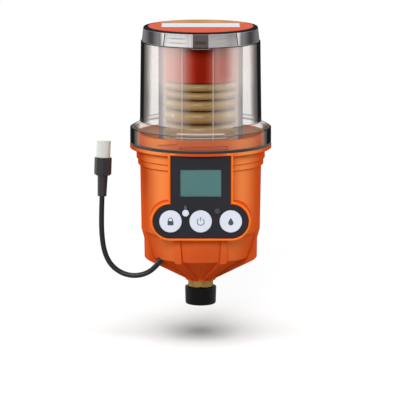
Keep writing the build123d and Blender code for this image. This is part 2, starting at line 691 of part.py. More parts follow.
# ------------------------------------------------------------------ deck, sleeve, bellows, follower
with BuildPart() as deck_plate:
    with BuildSketch(Plane.XY.offset(deck_ledge)):
        Circle(collar_inner - FIT_CLEARANCE)
    extrude(amount=DECK_THICKNESS)
    with BuildSketch(Plane.XY.offset(deck_top)):
        Circle(SLEEVE_RADIUS + DECK_RING_WALL)
    extrude(amount=DECK_RING_HEIGHT)
    with BuildSketch(Plane.XY.offset(deck_top)):
        Circle(sleeve_inner)
    extrude(amount=DECK_RING_HEIGHT, mode=Mode.SUBTRACT)
    with BuildSketch(Plane.XY.offset(deck_ledge)):
        Circle(BELLOWS_NECK_RADIUS + LOOSE_CLEARANCE)
    extrude(amount=DECK_THICKNESS, mode=Mode.SUBTRACT)
    with Locations((0, 0, deck_top)):
        with PolarLocations(deck_screw_circle, DECK_SCREW_COUNT, start_angle=DECK_SCREW_START):
            Hole(SCREW_RADIUS + FIT_CLEARANCE, depth=DECK_THICKNESS)
save(deck_plate, "deck_plate")

with BuildPart() as deck_screws:
    with BuildSketch(Plane.XY.offset(deck_top)):
        with PolarLocations(deck_screw_circle, DECK_SCREW_COUNT, start_angle=DECK_SCREW_START):
            Circle(SCREW_HEAD_RADIUS)
    extrude(amount=SCREW_HEAD_HEIGHT)
    fillet(deck_screws.edges().group_by(Axis.Z)[-1], SCREW_HEAD_HEIGHT / 3)
    with BuildSketch(Plane.XY.offset(deck_top)):
        with PolarLocations(deck_screw_circle, DECK_SCREW_COUNT, start_angle=DECK_SCREW_START):
            Circle(SCREW_RADIUS)
    extrude(amount=-SCREW_LENGTH)
save(deck_screws, "deck_screws")

with BuildPart() as guide_sleeve:
    with BuildSketch(Plane.XY.offset(sleeve_bottom)):
        Circle(SLEEVE_RADIUS)
        Circle(sleeve_inner, mode=Mode.SUBTRACT)
    extrude(amount=sleeve_top - sleeve_bottom)
save(guide_sleeve, "guide_sleeve")

fold_bottoms = [bellows_bottom + sum(BELLOWS_FOLDS[:i]) for i in range(len(BELLOWS_FOLDS))]
valley_radius = bellows_radius - BELLOWS_FOLD_DEPTH

with BuildPart() as bellows:
    with BuildSketch(Plane.XZ):
        with BuildLine():
            Polyline(
                (0, deck_ledge),
                (BELLOWS_NECK_RADIUS, deck_ledge),
                (BELLOWS_NECK_RADIUS, bellows_bottom),
                (valley_radius, bellows_bottom),
            )
            for fold_bottom, pitch in zip(fold_bottoms, BELLOWS_FOLDS):
                ThreePointArc(
                    (valley_radius, fold_bottom),
                    (bellows_radius, fold_bottom + pitch / 2),
                    (valley_radius, fold_bottom + pitch),
                )
            Polyline(
                (valley_radius, bellows_top),
                (valley_radius, cup_top - CUP_WALL - LOOSE_CLEARANCE),
                (0, cup_top - CUP_WALL - LOOSE_CLEARANCE),
                (0, deck_ledge),
            )
        make_face()
    revolve(axis=Axis.Z)
save(bellows, "bellows")

with BuildPart() as follower_cup:
    with BuildSketch(Plane.XZ):
        with BuildLine():
            Polyline(
                (0, cup_top),
                (cup_radius, cup_top),
                (cup_radius, cup_bottom),
                (cup_radius - CUP_WALL, cup_bottom),
                (cup_radius - CUP_WALL, cup_top - CUP_WALL),
                (0, cup_top - CUP_WALL),
                close=True,
            )
        make_face()
    revolve(axis=Axis.Z)
    fillet(follower_cup.edges().group_by(Axis.Z)[-1], 1.2)
save(follower_cup, "follower_cup")

# ------------------------------------------------------------------ clear cover, its seal and label
with BuildPart() as cover_seal:
    with BuildSketch(Plane.XY.offset(flange_top)):
        Circle(skirt_radius)
        Circle(skirt_radius - SEAL_WIDTH, mode=Mode.SUBTRACT)
    extrude(amount=SEAL_HEIGHT)
save(cover_seal, "cover_seal")

with BuildPart() as top_cover:
    with BuildSketch(Plane.XZ):
        with BuildLine():
            Polyline(
                (skirt_inner, skirt_bottom),
                (skirt_radius, skirt_bottom),
                (skirt_radius, skirt_top),
                (cover_base_radius, cover_base),
                (cover_shoulder_radius, cover_shoulder),
                (rim_foot_radius, cover_shoulder),
                (cover_rim_radius, cover_top),
                (0, cover_top),
                (0, cover_top - COVER_WALL),
                (cover_rim_radius - COVER_WALL, cover_top - COVER_WALL),
                (rim_foot_radius - COVER_WALL, cover_shoulder - COVER_WALL),
                (cover_base_radius - COVER_WALL, cover_base - COVER_WALL / 2),
                (skirt_inner, skirt_top - COVER_WALL / 2),
                close=True,
            )
        make_face()
    revolve(axis=Axis.Z)
    fillet(top_cover.edges().group_by(Axis.Z)[-1], COVER_RIM_FILLET)
    # Grip pads sunk into the rim, either side of a raised grip bar.
    with BuildSketch(Plane.XZ) as pad_profile:
        with BuildLine():
            Polyline(
                (rim_foot_radius - GRIP_PAD_DEPTH, cover_shoulder + GRIP_PAD_HEIGHTS[0]),
                (cover_shoulder_radius + 1, cover_shoulder + GRIP_PAD_HEIGHTS[0]),
                (cover_shoulder_radius + 1, cover_shoulder + GRIP_PAD_HEIGHTS[1]),
                (cover_rim_radius - GRIP_PAD_DEPTH, cover_shoulder + GRIP_PAD_HEIGHTS[1]),
                close=True,
            )
        make_face()
    pad_arc = GRIP_PAD_ANGLES[1] - GRIP_PAD_ANGLES[0]
    for middle in (-90, 90):
        for start in (middle - GRIP_PAD_ANGLES[1], middle + GRIP_PAD_ANGLES[0]):
            revolve(
                Rot(0, 0, start) * pad_profile.sketch,
                axis=Axis.Z,
                revolution_arc=pad_arc,
                mode=Mode.SUBTRACT,
            )
    with BuildSketch(Plane.XY.offset(cover_shoulder + GRIP_BAR_HEIGHTS[0])):
        with Locations((0, -grip_bar_middle), (0, grip_bar_middle)):
            Rectangle(GRIP_BAR_WIDTH, COVER_WALL)
    extrude(amount=GRIP_BAR_HEIGHTS[1] - GRIP_BAR_HEIGHTS[0])
    with PolarLocations(0, LUG_COUNT):
        add(cover_lug)
save(top_cover, "top_cover")

with BuildPart() as top_label:
    with BuildSketch(Plane.XY.offset(cover_top)):
        Circle(cover_rim_radius - LABEL_MARGIN)
    extrude(amount=LABEL_THICKNESS)
save(top_label, "top_label")

# ------------------------------------------------------------------ pump and drive
with BuildPart() as pump_body:
    with BuildSketch(Plane.XY.offset(cavity_floor)):
        Circle(PUMP_RADIUS)
    extrude(amount=pump_top - cavity_floor)
    with BuildSketch(Plane.XY.offset(pump_top)):
        Circle(SPIGOT_RADIUS)
    extrude(amount=SPIGOT_HEIGHT)
    with BuildSketch(Plane.YZ):
        with Locations((0, plunger_level)):
            Circle(BARREL_BOSS_RADIUS)
    extrude(amount=BARREL_BOSS_LENGTH)
    with BuildSketch(Plane.XY.offset(cavity_floor)):
        Circle(STEM_RADIUS)
    extrude(amount=stem_top - cavity_floor, mode=Mode.SUBTRACT)
    with BuildSketch(Plane.XY.offset(stem_top)):
        Circle(PUMP_CHANNEL)
    extrude(amount=spigot_top - stem_top, mode=Mode.SUBTRACT)
    with BuildSketch(Plane.YZ):
        with Locations((0, plunger_level)):
            Circle(PLUNGER_RADIUS + RUNNING_CLEARANCE)
    extrude(amount=BARREL_BOSS_LENGTH, mode=Mode.SUBTRACT)
save(pump_body, "pump_body")

with BuildPart() as feed_tube:
    with BuildSketch(Plane.XY.offset(spigot_top)):
        Circle(FEED_RADIUS)
        Circle(FEED_BORE, mode=Mode.SUBTRACT)
    extrude(amount=deck_ledge - spigot_top)
save(feed_tube, "feed_tube")

with BuildPart() as plunger:
    with BuildSketch(Plane.YZ.offset(plunger_tip)):
        with Locations((0, plunger_level)):
            Circle(PLUNGER_RADIUS)
    extrude(amount=plunger_head_face - plunger_tip)
    with BuildSketch(Plane.YZ.offset(plunger_head_face)):
        with Locations((0, plunger_level)):
            Circle(PLUNGER_HEAD_RADIUS)
    extrude(amount=-PLUNGER_HEAD)
save(plunger, "plunger")

with BuildPart() as plunger_spring:
    with BuildLine() as plunger_coil:
        Helix(
            pitch=plunger_spring_length / PLUNGER_SPRING_TURNS,
            height=plunger_spring_length,
            radius=PLUNGER_RADIUS + PLUNGER_SPRING_WIRE + LOOSE_CLEARANCE,
            center=(BARREL_BOSS_LENGTH + PLUNGER_SPRING_WIRE, 0, plunger_level),
            direction=(1, 0, 0),
        )
    with BuildSketch(Plane(origin=plunger_coil.line @ 0, z_dir=plunger_coil.line % 0)):
        Rectangle(2 * PLUNGER_SPRING_WIRE, 2 * PLUNGER_SPRING_WIRE)
    sweep(path=plunger_coil.line, is_frenet=True)
save(plunger_spring, "plunger_spring")

with BuildPart() as cam_gear:
    extrude(
        gear_outline(CAM_GEAR_TEETH, (CAM_SHAFT_X, 0), cam_gear_bottom, REDUCTION_AZIMUTH),
        amount=GEAR_THICKNESS,
    )
    with BuildSketch(Plane.XY.offset(cam_gear_bottom)):
        with Locations((CAM_SHAFT_X, 0)):
            Circle(CAM_HUB_RADIUS)
    extrude(amount=-CAM_HUB_HEIGHT)
    with BuildSketch(Plane.XY.offset(cam_bottom)):
        with Locations((CAM_SHAFT_X + CAM_OFFSET, 0)):
            Circle(CAM_RADIUS)
    extrude(amount=CAM_THICKNESS)
    with BuildSketch(Plane.XY.offset(cam_bottom)):
        with Locations((CAM_SHAFT_X, 0)):
            Circle(AXLE_RADIUS + RUNNING_CLEARANCE)
    extrude(amount=cam_gear_bottom + GEAR_THICKNESS - cam_bottom, mode=Mode.SUBTRACT)
save(cam_gear, "cam_gear")

with BuildPart() as reduction_gear:
    extrude(
        gear_outline(REDUCTION_TEETH, reduction_place, reduction_bottom, MOTOR_AZIMUTH),
        amount=GEAR_THICKNESS,
    )
    extrude(
        gear_outline(
            PINION_TEETH, reduction_place, cam_gear_bottom, REDUCTION_AZIMUTH + 180 + half_pinion_tooth
        ),
        amount=reduction_bottom - cam_gear_bottom,
    )
    with BuildSketch(Plane.XY.offset(cam_gear_bottom)):
        with Locations(reduction_place):
            Circle(AXLE_RADIUS + RUNNING_CLEARANCE)
    extrude(amount=reduction_bottom + GEAR_THICKNESS - cam_gear_bottom, mode=Mode.SUBTRACT)
save(reduction_gear, "reduction_gear")

with BuildPart() as motor_pinion:
    extrude(
        gear_outline(
            PINION_TEETH, motor_place, reduction_bottom, MOTOR_AZIMUTH + 180 + half_pinion_tooth
        ),
        amount=GEAR_THICKNESS + 1,
    )
    with BuildSketch(Plane.XY.offset(reduction_bottom)):
        with Locations(motor_place):
            Circle(MOTOR_SHAFT_RADIUS + RUNNING_CLEARANCE)
    extrude(amount=GEAR_THICKNESS + 1, mode=Mode.SUBTRACT)
save(motor_pinion, "motor_pinion")

with BuildPart() as drive_plate:
    with BuildSketch(Plane.XY.offset(pump_top)):
        Circle(PLATE_RADIUS)
        Circle(SPIGOT_RADIUS + FIT_CLEARANCE, mode=Mode.SUBTRACT)
        with Locations(motor_place):
            Circle(MOTOR_SHAFT_RADIUS + FIT_CLEARANCE, mode=Mode.SUBTRACT)
    extrude(amount=PLATE_THICKNESS)
    # Fixed axles of the two gears, riveted into the plate.
    for axle_place, axle_end in (((CAM_SHAFT_X, 0), cam_bottom), (reduction_place, cam_gear_bottom)):
        with BuildSketch(Plane.XY.offset(pump_top)):
            with Locations(axle_place):
                Circle(AXLE_RADIUS)
        extrude(amount=axle_end - pump_top)
save(drive_plate, "drive_plate")

with BuildPart() as motor:
    with BuildSketch(Plane.XY.offset(plate_top)):
        with Locations(motor_place):
            Circle(MOTOR_RADIUS)
    extrude(amount=MOTOR_LENGTH)
    chamfer(motor.faces().sort_by(Axis.Z)[-1].edges(), 0.8)
    with BuildSketch(Plane.XY.offset(plate_top)):
        with Locations(motor_place):
            Circle(MOTOR_SHAFT_RADIUS)
    extrude(amount=reduction_bottom - plate_top)
save(motor, "motor")

# ------------------------------------------------------------------ cable and its connector
with BuildPart() as cable:
    with BuildLine() as cable_path:
        FilletPolyline(*route_points, radius=cable_radii)
    with BuildSketch(Plane(origin=cable_path.line @ 0, z_dir=cable_path.line % 0)):
        Circle(CABLE_RADIUS)
    sweep(path=cable_path.line)
save(cable, "cable")
cable_length = sum(edge.length for edge in cable_path.edges())
cable_section = pi * CABLE_RADIUS**2 * cable_length
print("cable length", round(cable_length, 2), "radii", [round(r, 1) for r in cable_radii])
print("cable volume", round(cable.part.volume, 1), "section times length", round(cable_section, 1))

with BuildPart() as cable_grommet:
    with BuildSketch(cable_exit.offset(-0.8 * GROMMET_LENGTH)):
        Circle(GROMMET_RADIUS)
        Circle(CABLE_RADIUS + FIT_CLEARANCE, mode=Mode.SUBTRACT)
    extrude(amount=GROMMET_LENGTH)
save(cable_grommet, "cable_grommet")

with BuildPart() as strain_relief:
    with BuildSketch(connector_axis):
        Circle(RELIEF_RADII[0])
    with BuildSketch(connector_axis.offset(RELIEF_LENGTH)):
        Circle(RELIEF_RADII[1])
    loft()
save(strain_relief, "strain_relief")

with BuildPart() as connector_body:
    with BuildSketch(connector_axis.offset(RELIEF_LENGTH)):
        RegularPolygon(CONNECTOR_RADIUS, 8, major_radius=False)
    extrude(amount=CONNECTOR_LENGTH)
    chamfer(connector_body.faces().sort_by(Axis.Z)[0].edges(), 1.2)
save(connector_body, "connector_body")

with BuildPart() as connector_cap:
    with BuildSketch(connector_axis.offset(RELIEF_LENGTH + CONNECTOR_LENGTH)):
        Circle(CONNECTOR_CAP_RADIUS)
    extrude(amount=CONNECTOR_CAP_LENGTH)
save(connector_cap, "connector_cap")
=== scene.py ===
"""Finishes, fine pieces, light and camera for an automatic grease lubricator.

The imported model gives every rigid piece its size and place. This script dresses those pieces, adds the
finer ones that ride on them (bellows, cable, panel marks, cover details) and lights the whole.
"""

from __future__ import annotations

import logging
import math
from collections.abc import Sequence
from dataclasses import dataclass, field
from enum import Enum

import bmesh
import bpy
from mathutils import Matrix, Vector

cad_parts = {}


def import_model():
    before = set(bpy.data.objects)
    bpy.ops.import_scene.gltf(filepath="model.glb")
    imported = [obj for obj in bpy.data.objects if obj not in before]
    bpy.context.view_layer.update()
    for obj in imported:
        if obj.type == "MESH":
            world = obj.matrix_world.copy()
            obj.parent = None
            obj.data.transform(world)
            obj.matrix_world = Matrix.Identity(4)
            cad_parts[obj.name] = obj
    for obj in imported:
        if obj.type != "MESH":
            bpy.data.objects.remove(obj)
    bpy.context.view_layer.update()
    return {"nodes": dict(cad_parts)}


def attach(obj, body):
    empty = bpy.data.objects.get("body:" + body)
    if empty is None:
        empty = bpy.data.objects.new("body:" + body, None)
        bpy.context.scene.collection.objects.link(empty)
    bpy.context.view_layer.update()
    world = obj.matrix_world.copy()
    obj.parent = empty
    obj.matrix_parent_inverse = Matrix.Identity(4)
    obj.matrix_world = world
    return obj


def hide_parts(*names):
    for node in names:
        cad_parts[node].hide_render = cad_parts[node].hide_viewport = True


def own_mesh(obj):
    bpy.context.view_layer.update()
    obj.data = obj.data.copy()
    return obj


log = logging.getLogger("lubricator")
MM = 0.001
SHARP_EDGE = math.radians(35)
GRAIN_HEIGHT = 0.0002
LINE_HEIGHT = 0.0001
Colour = tuple[float, float, float]
Point = tuple[float, float]


def rgb(red: int, green: int, blue: int) -> Colour:
    """Turn a colour of 0 to 255 into the linear values that shaders use.

    Args:
        red: Red share, 0 to 255.
        green: Green share, 0 to 255.
        blue: Blue share, 0 to 255.

    Returns:
        The linear colour.
    """
    return tuple(
        (c / 255 / 12.92) if c <= 10 else ((c / 255 + 0.055) / 1.055) ** 2.4
        for c in (red, green, blue)
    )


# ---------------------------------------------------------------------------------------------- node work
class Sheet:
    """Short calls for placing and joining shader nodes in one tree."""

    def __init__(self, tree: bpy.types.NodeTree) -> None:
        """Keep the tree that nodes go into."""
        self.tree = tree

    def node(self, kind: str, **settings: object) -> bpy.types.Node:
        """Place a node and set its properties.

        Args:
            kind: Blender's name for the node.
            **settings: Properties of the node itself.

        Returns:
            The new node.
        """
        made = self.tree.nodes.new(kind)
        for name, value in settings.items():
            setattr(made, name, value)
        return made

    def join(self, source: bpy.types.NodeSocket, target: bpy.types.NodeSocket) -> None:
        """Link one socket to another."""
        self.tree.links.new(source, target)

    def place(self) -> bpy.types.NodeSocket:
        """Return each point's place on its piece."""
        return self.node("ShaderNodeTexCoord").outputs["Object"]

    def split(self) -> bpy.types.Node:
        """Split each point's place into X, Y and Z."""
        made = self.node("ShaderNodeSeparateXYZ")
        self.join(self.place(), made.inputs[0])
        return made

    def facing(self) -> bpy.types.NodeSocket:
        """Return how far each point turns away from the eye."""
        return self.node("ShaderNodeLayerWeight").outputs["Facing"]

    def mix(
        self,
        amount: bpy.types.NodeSocket | float,
        first: bpy.types.NodeSocket | Colour,
        second: bpy.types.NodeSocket | Colour,
    ) -> bpy.types.NodeSocket:
        """Mix two colours.

        Args:
            amount: Share of the second colour, as a socket or a number.
            first: Colour at an amount of 0.
            second: Colour at an amount of 1.

        Returns:
            The mixed colour's socket.
        """
        made = self.node("ShaderNodeMix", data_type="RGBA")
        for socket, value in ((made.inputs[0], amount), (made.inputs[6], first), (made.inputs[7], second)):
            if isinstance(value, bpy.types.NodeSocket):
                self.join(value, socket)
            elif isinstance(value, tuple):
                socket.default_value = (*value, 1.0)
            else:
                socket.default_value = value
        return made.outputs[2]

    def maths(
        self,
        operation: str,
        first: bpy.types.NodeSocket | float,
        second: bpy.types.NodeSocket | float = 0.0,
        clamp: bool = False,
    ) -> bpy.types.NodeSocket:
        """Work out one value from two.

        Args:
            operation: Name of the Math node's operation.
            first: First value, as a socket or a number.
            second: Second value, as a socket or a number.
            clamp: Keep the result between 0 and 1.

        Returns:
            The result's socket.
        """
        made = self.node("ShaderNodeMath", operation=operation, use_clamp=clamp)
        for socket, value in zip(made.inputs, (first, second)):
            if isinstance(value, bpy.types.NodeSocket):
                self.join(value, socket)
            else:
                socket.default_value = value
        return made.outputs[0]

    def ramp(self, value: bpy.types.NodeSocket, stops: Sequence[tuple[float, float]]) -> bpy.types.NodeSocket:
        """Read a value through a curve of straight pieces.

        Args:
            value: The value to read.
            stops: Pairs of value and result, in rising order.

        Returns:
            The result's socket.
        """
        made = self.node("ShaderNodeValToRGB")
        elements = made.color_ramp.elements
        while len(elements) < len(stops):
            elements.new(0.5)
        for element, (place, result) in zip(elements, stops):
            element.position = place
            element.color = (result, result, result, 1.0)
        self.join(value, made.inputs[0])
        return made.outputs[0]

    def noise(self, vector: bpy.types.NodeSocket, scale: float, detail: float = 2.0) -> bpy.types.NodeSocket:
        """Place a noise texture and return its value."""
        made = self.node("ShaderNodeTexNoise")
        made.inputs["Scale"].default_value = scale
        made.inputs["Detail"].default_value = detail
        self.join(vector, made.inputs["Vector"])
        return made.outputs["Fac"]


def new_group(name: str, inputs: dict[str, tuple[str, object]], outputs: dict[str, str]) -> bpy.types.NodeTree:
    """Start a shader node group with named sockets.

    Args:
        name: The group's name.
        inputs: Each input's kind of socket and its first value.
        outputs: Each output's kind of socket.

    Returns:
        The group's tree, with its input and output nodes placed.
    """
    tree = bpy.data.node_groups.new(name, "ShaderNodeTree")
    for label, (kind, value) in inputs.items():
        socket = tree.interface.new_socket(label, in_out="INPUT", socket_type=kind)
        socket.default_value = value
    for label, kind in outputs.items():
        tree.interface.new_socket(label, in_out="OUTPUT", socket_type=kind)
    tree.nodes.new("NodeGroupInput")
    tree.nodes.new("NodeGroupOutput")
    return tree


def ends(tree: bpy.types.NodeTree) -> tuple[bpy.types.Node, bpy.types.Node]:
    """Return a group's input node and output node."""
    kinds = {node.bl_idname: node for node in tree.nodes}
    return kinds["NodeGroupInput"], kinds["NodeGroupOutput"]


FLOAT = "NodeSocketFloat"
COLOUR = "NodeSocketColor"
VECTOR = "NodeSocketVector"


def moulded_group() -> bpy.types.NodeTree:
    """Build the surface of a moulded piece: cloudy colour, fine grain and uneven gloss.

    Returns:
        The group, with Colour, Roughness and Normal outputs.
    """
    tree = new_group(
        "moulded_surface",
        {
            "Colour": (COLOUR, (0.5, 0.5, 0.5, 1)),
            "Shade": (COLOUR, (0.4, 0.4, 0.4, 1)),
            "Cloud Scale": (FLOAT, 30.0),
            "Grain Scale": (FLOAT, 1800.0),
            "Grain Depth": (FLOAT, 0.1),
            "Gloss Low": (FLOAT, 0.4),
            "Gloss High": (FLOAT, 0.5),
        },
        {"Colour": COLOUR, "Roughness": FLOAT, "Normal": VECTOR},
    )
    sheet = Sheet(tree)
    given, out = ends(tree)
    place = sheet.place()
    cloud = sheet.node("ShaderNodeTexNoise")
    sheet.join(place, cloud.inputs["Vector"])
    sheet.join(given.outputs["Cloud Scale"], cloud.inputs["Scale"])
    cloud.inputs["Detail"].default_value = 3.0
    grain = sheet.node("ShaderNodeTexNoise")
    sheet.join(place, grain.inputs["Vector"])
    sheet.join(given.outputs["Grain Scale"], grain.inputs["Scale"])
    grain.inputs["Detail"].default_value = 1.0
    clouds = sheet.ramp(cloud.outputs["Fac"], ((0.32, 0.0), (0.7, 1.0)))
    sheet.join(
        sheet.mix(clouds, given.outputs["Colour"], given.outputs["Shade"]),
        out.inputs["Colour"],
    )
    spread = sheet.maths("SUBTRACT", given.outputs["Gloss High"], given.outputs["Gloss Low"])
    uneven = sheet.maths("MULTIPLY", spread, cloud.outputs["Fac"])
    sheet.join(sheet.maths("ADD", uneven, given.outputs["Gloss Low"]), out.inputs["Roughness"])
    bump = sheet.node("ShaderNodeBump")
    bump.inputs["Distance"].default_value = GRAIN_HEIGHT
    sheet.join(given.outputs["Grain Depth"], bump.inputs["Strength"])
    sheet.join(grain.outputs["Fac"], bump.inputs["Height"])
    sheet.join(bump.outputs["Normal"], out.inputs["Normal"])
    return tree


def turned_group() -> bpy.types.NodeTree:
    """Build the surface of cut metal: fine lines around or across the piece, and tarnish.

    Returns:
        The group, with Colour, Roughness and Normal outputs.
    """
    tree = new_group(
        "cut_metal_surface",
        {
            "Colour": (COLOUR, (0.7, 0.7, 0.7, 1)),
            "Tarnish": (COLOUR, (0.4, 0.4, 0.4, 1)),
            "Line Direction": (VECTOR, (60.0, 60.0, 4000.0)),
            "Line Depth": (FLOAT, 0.1),
            "Gloss Low": (FLOAT, 0.25),
            "Gloss High": (FLOAT, 0.45),
        },
        {"Colour": COLOUR, "Roughness": FLOAT, "Normal": VECTOR},
    )
    sheet = Sheet(tree)
    given, out = ends(tree)
    place = sheet.place()
    stretch = sheet.node("ShaderNodeVectorMath", operation="MULTIPLY")
    sheet.join(place, stretch.inputs[0])
    sheet.join(given.outputs["Line Direction"], stretch.inputs[1])
    lines = sheet.noise(stretch.outputs[0], 1.0, 2.0)
    patches = sheet.noise(place, 120.0, 4.0)
    tarnish = sheet.ramp(patches, ((0.45, 0.0), (0.75, 1.0)))
    sheet.join(sheet.mix(tarnish, given.outputs["Colour"], given.outputs["Tarnish"]), out.inputs["Colour"])
    spread = sheet.maths("SUBTRACT", given.outputs["Gloss High"], given.outputs["Gloss Low"])
    sheet.join(
        sheet.maths("ADD", sheet.maths("MULTIPLY", spread, lines), given.outputs["Gloss Low"]),
        out.inputs["Roughness"],
    )
    bump = sheet.node("ShaderNodeBump")
    bump.inputs["Distance"].default_value = LINE_HEIGHT
    sheet.join(given.outputs["Line Depth"], bump.inputs["Strength"])
    sheet.join(lines, bump.inputs["Height"])
    sheet.join(bump.outputs["Normal"], out.inputs["Normal"])
    return tree


def band_group() -> bpy.types.NodeTree:
    """Build a soft-edged mask of the points whose value lies between two limits.

    Returns:
        The group, with a Mask output.
    """
    tree = new_group(
        "band_mask",
        {"Value": (FLOAT, 0.0), "Low": (FLOAT, 0.0), "High": (FLOAT, 1.0), "Softness": (FLOAT, 0.0002)},
        {"Mask": FLOAT},
    )
    sheet = Sheet(tree)
    given, out = ends(tree)
    above = sheet.maths("SUBTRACT", given.outputs["Value"], given.outputs["Low"])
    below = sheet.maths("SUBTRACT", given.outputs["High"], given.outputs["Value"])
    nearer = sheet.maths("MINIMUM", above, below)
    sheet.join(
        sheet.maths("DIVIDE", nearer, given.outputs["Softness"], clamp=True),
        out.inputs["Mask"],
    )
    return tree


class Workshop:
    """The shared node groups and the materials, each built once."""

    groups: dict[str, bpy.types.NodeTree] = {}
    materials: dict[str, bpy.types.Material] = {}

    @classmethod
    def group(cls, name: str) -> bpy.types.NodeTree:
        """Return a shared group by name, building it on first use."""
        builders = {"moulded": moulded_group, "cut": turned_group, "band": band_group}
        if name not in cls.groups:
            cls.groups[name] = builders[name]()
        return cls.groups[name]

    @classmethod
    def material(cls, finish: "Finish") -> bpy.types.Material:
        """Return a finish's material, building it on first use."""
        if finish.name not in cls.materials:
            cls.materials[finish.name] = finish.build()
        return cls.materials[finish.name]


# ---------------------------------------------------------------------------------------------- finishes
@dataclass(frozen=True)
class Finish:
    """What all finishes share: a name and a principled shader."""

    name: str

    def start(self) -> tuple[bpy.types.Material, Sheet, bpy.types.Node]:
        """Begin a material with one principled shader.

        Returns:
            The material, its node sheet and the shader.
        """
        material = bpy.data.materials.new(self.name)
        material.use_nodes = True
        shader = next(node for node in material.node_tree.nodes if node.type == "BSDF_PRINCIPLED")
        return material, Sheet(material.node_tree), shader

    def place(self, sheet: Sheet, group: str, values: dict[str, object]) -> bpy.types.Node:
        """Place a shared group in a material with its own values.

        Args:
            sheet: The material's nodes.
            group: Name of the shared group.
            values: Value of each of the group's inputs.

        Returns:
            The group's node.
        """
        made = sheet.node("ShaderNodeGroup", node_tree=Workshop.group(group))
        for label, value in values.items():
            if isinstance(value, bpy.types.NodeSocket):
                sheet.join(value, made.inputs[label])
            else:
                made.inputs[label].default_value = value
        return made

    def band(
        self, sheet: Sheet, value: bpy.types.NodeSocket, low: float, high: float, softness: float
    ) -> bpy.types.NodeSocket:
        """Mask the points whose value lies between two limits.

        Args:
            sheet: The material's nodes.
            value: The value, in metres.
            low: Lower limit in metres.
            high: Upper limit in metres.
            softness: Width in metres over which the mask rises inside each limit.

        Returns:
            The mask.
        """
        values = {"Value": value, "Low": low, "High": high, "Softness": softness}
        return self.place(sheet, "band", values).outputs["Mask"]


@dataclass(frozen=True)
class Moulded(Finish):
    """Moulded plastic or rubber."""

    colour: Colour = (0.5, 0.5, 0.5)
    shade: Colour = (0.4, 0.4, 0.4)
    gloss: tuple[float, float] = (0.35, 0.5)
    grain: float = 0.12
    grain_scale: float = 1800.0
    cloud_scale: float = 30.0
    specular: float = 0.5
    tint: Colour = (1.0, 1.0, 1.0)

    def build(self) -> bpy.types.Material:
        """Make the material."""
        material, sheet, shader = self.start()
        surface = self.place(
            sheet,
            "moulded",
            {
                "Colour": (*self.colour, 1),
                "Shade": (*self.shade, 1),
                "Cloud Scale": self.cloud_scale,
                "Grain Scale": self.grain_scale,
                "Grain Depth": self.grain,
                "Gloss Low": self.gloss[0],
                "Gloss High": self.gloss[1],
            },
        )
        sheet.join(self.painted_light(sheet, surface.outputs["Colour"]), shader.inputs["Base Color"])
        sheet.join(surface.outputs["Roughness"], shader.inputs["Roughness"])
        sheet.join(surface.outputs["Normal"], shader.inputs["Normal"])
        shader.inputs["Specular IOR Level"].default_value = self.specular
        shader.inputs["Specular Tint"].default_value = (*self.tint, 1)
        return material

    def painted_light(self, sheet: Sheet, colour: bpy.types.NodeSocket) -> bpy.types.NodeSocket:
        """Paint light or shade onto the colour; a plain moulded piece gets none.

        Args:
            sheet: The material's nodes; not used here.
            colour: The moulded colour.

        Returns:
            The final colour.
        """
        return colour


@dataclass(frozen=True)
class PaintedHighlightPlastic(Moulded):
    """Plastic with a painted highlight: deep in colour towards the eye and lighter where it turns away.

    Above a height in millimetres the painted highlight is full, and weaker down to a reach below it.
    """

    # The side colour is the painted highlight; turn gives how much of it shows as the surface turns from the
    # eye.
    side: Colour = (0.5, 0.2, 0.1)
    turn: tuple[tuple[float, float], ...] = (
        (0.014, 0.1),
        (0.02, 0.35),
        (0.04, 0.7),
        (0.08, 0.95),
        (0.12, 1.0),
    )
    height: float = 0.0
    reach: float = 1.0

    def painted_light(self, sheet: Sheet, colour: bpy.types.NodeSocket) -> bpy.types.NodeSocket:
        """Paint a highlight: lighten the colour away from the middle.

        Args:
            sheet: The material's nodes.
            colour: The moulded colour.

        Returns:
            The final colour.
        """
        low = (self.height - self.reach) * MM
        high = self.band(sheet, sheet.split().outputs["Z"], low, 1.0, self.reach * MM)
        amount = sheet.maths("MULTIPLY", sheet.ramp(sheet.facing(), self.turn), high)
        return sheet.mix(amount, colour, self.side)


@dataclass(frozen=True)
class FoldedRubber(Moulded):
    """Rubber bellows with painted shade down in its valleys and straight ahead. Radii in millimetres."""

    valley: Colour = (0.1, 0.05, 0.02)
    centre_shade: Colour = (0.2, 0.1, 0.03)
    middle: tuple[tuple[float, float], ...] = ((0.015, 0.4), (0.03, 0.2), (0.05, 0.0))
    floor: float = 26.4
    rise: float = 1.5

    def painted_light(self, sheet: Sheet, colour: bpy.types.NodeSocket) -> bpy.types.NodeSocket:
        """Paint shade into the valleys and the middle.

        Args:
            sheet: The material's nodes.
            colour: The moulded colour.

        Returns:
            The final colour.
        """
        # Painted shade: the valley colour fills the folds near their floor radius, and the middle darkens
        # towards the eye.
        flat = sheet.node("ShaderNodeVectorMath", operation="MULTIPLY")
        flat.inputs[1].default_value = (1.0, 1.0, 0.0)
        sheet.join(sheet.place(), flat.inputs[0])
        distance = sheet.node("ShaderNodeVectorMath", operation="LENGTH")
        sheet.join(flat.outputs[0], distance.inputs[0])
        top = (self.floor + self.rise) * MM
        deep = self.band(sheet, distance.outputs["Value"], -1.0, top, self.rise * MM)
        colour = sheet.mix(sheet.ramp(sheet.facing(), self.middle), colour, self.centre_shade)
        return sheet.mix(deep, colour, self.valley)


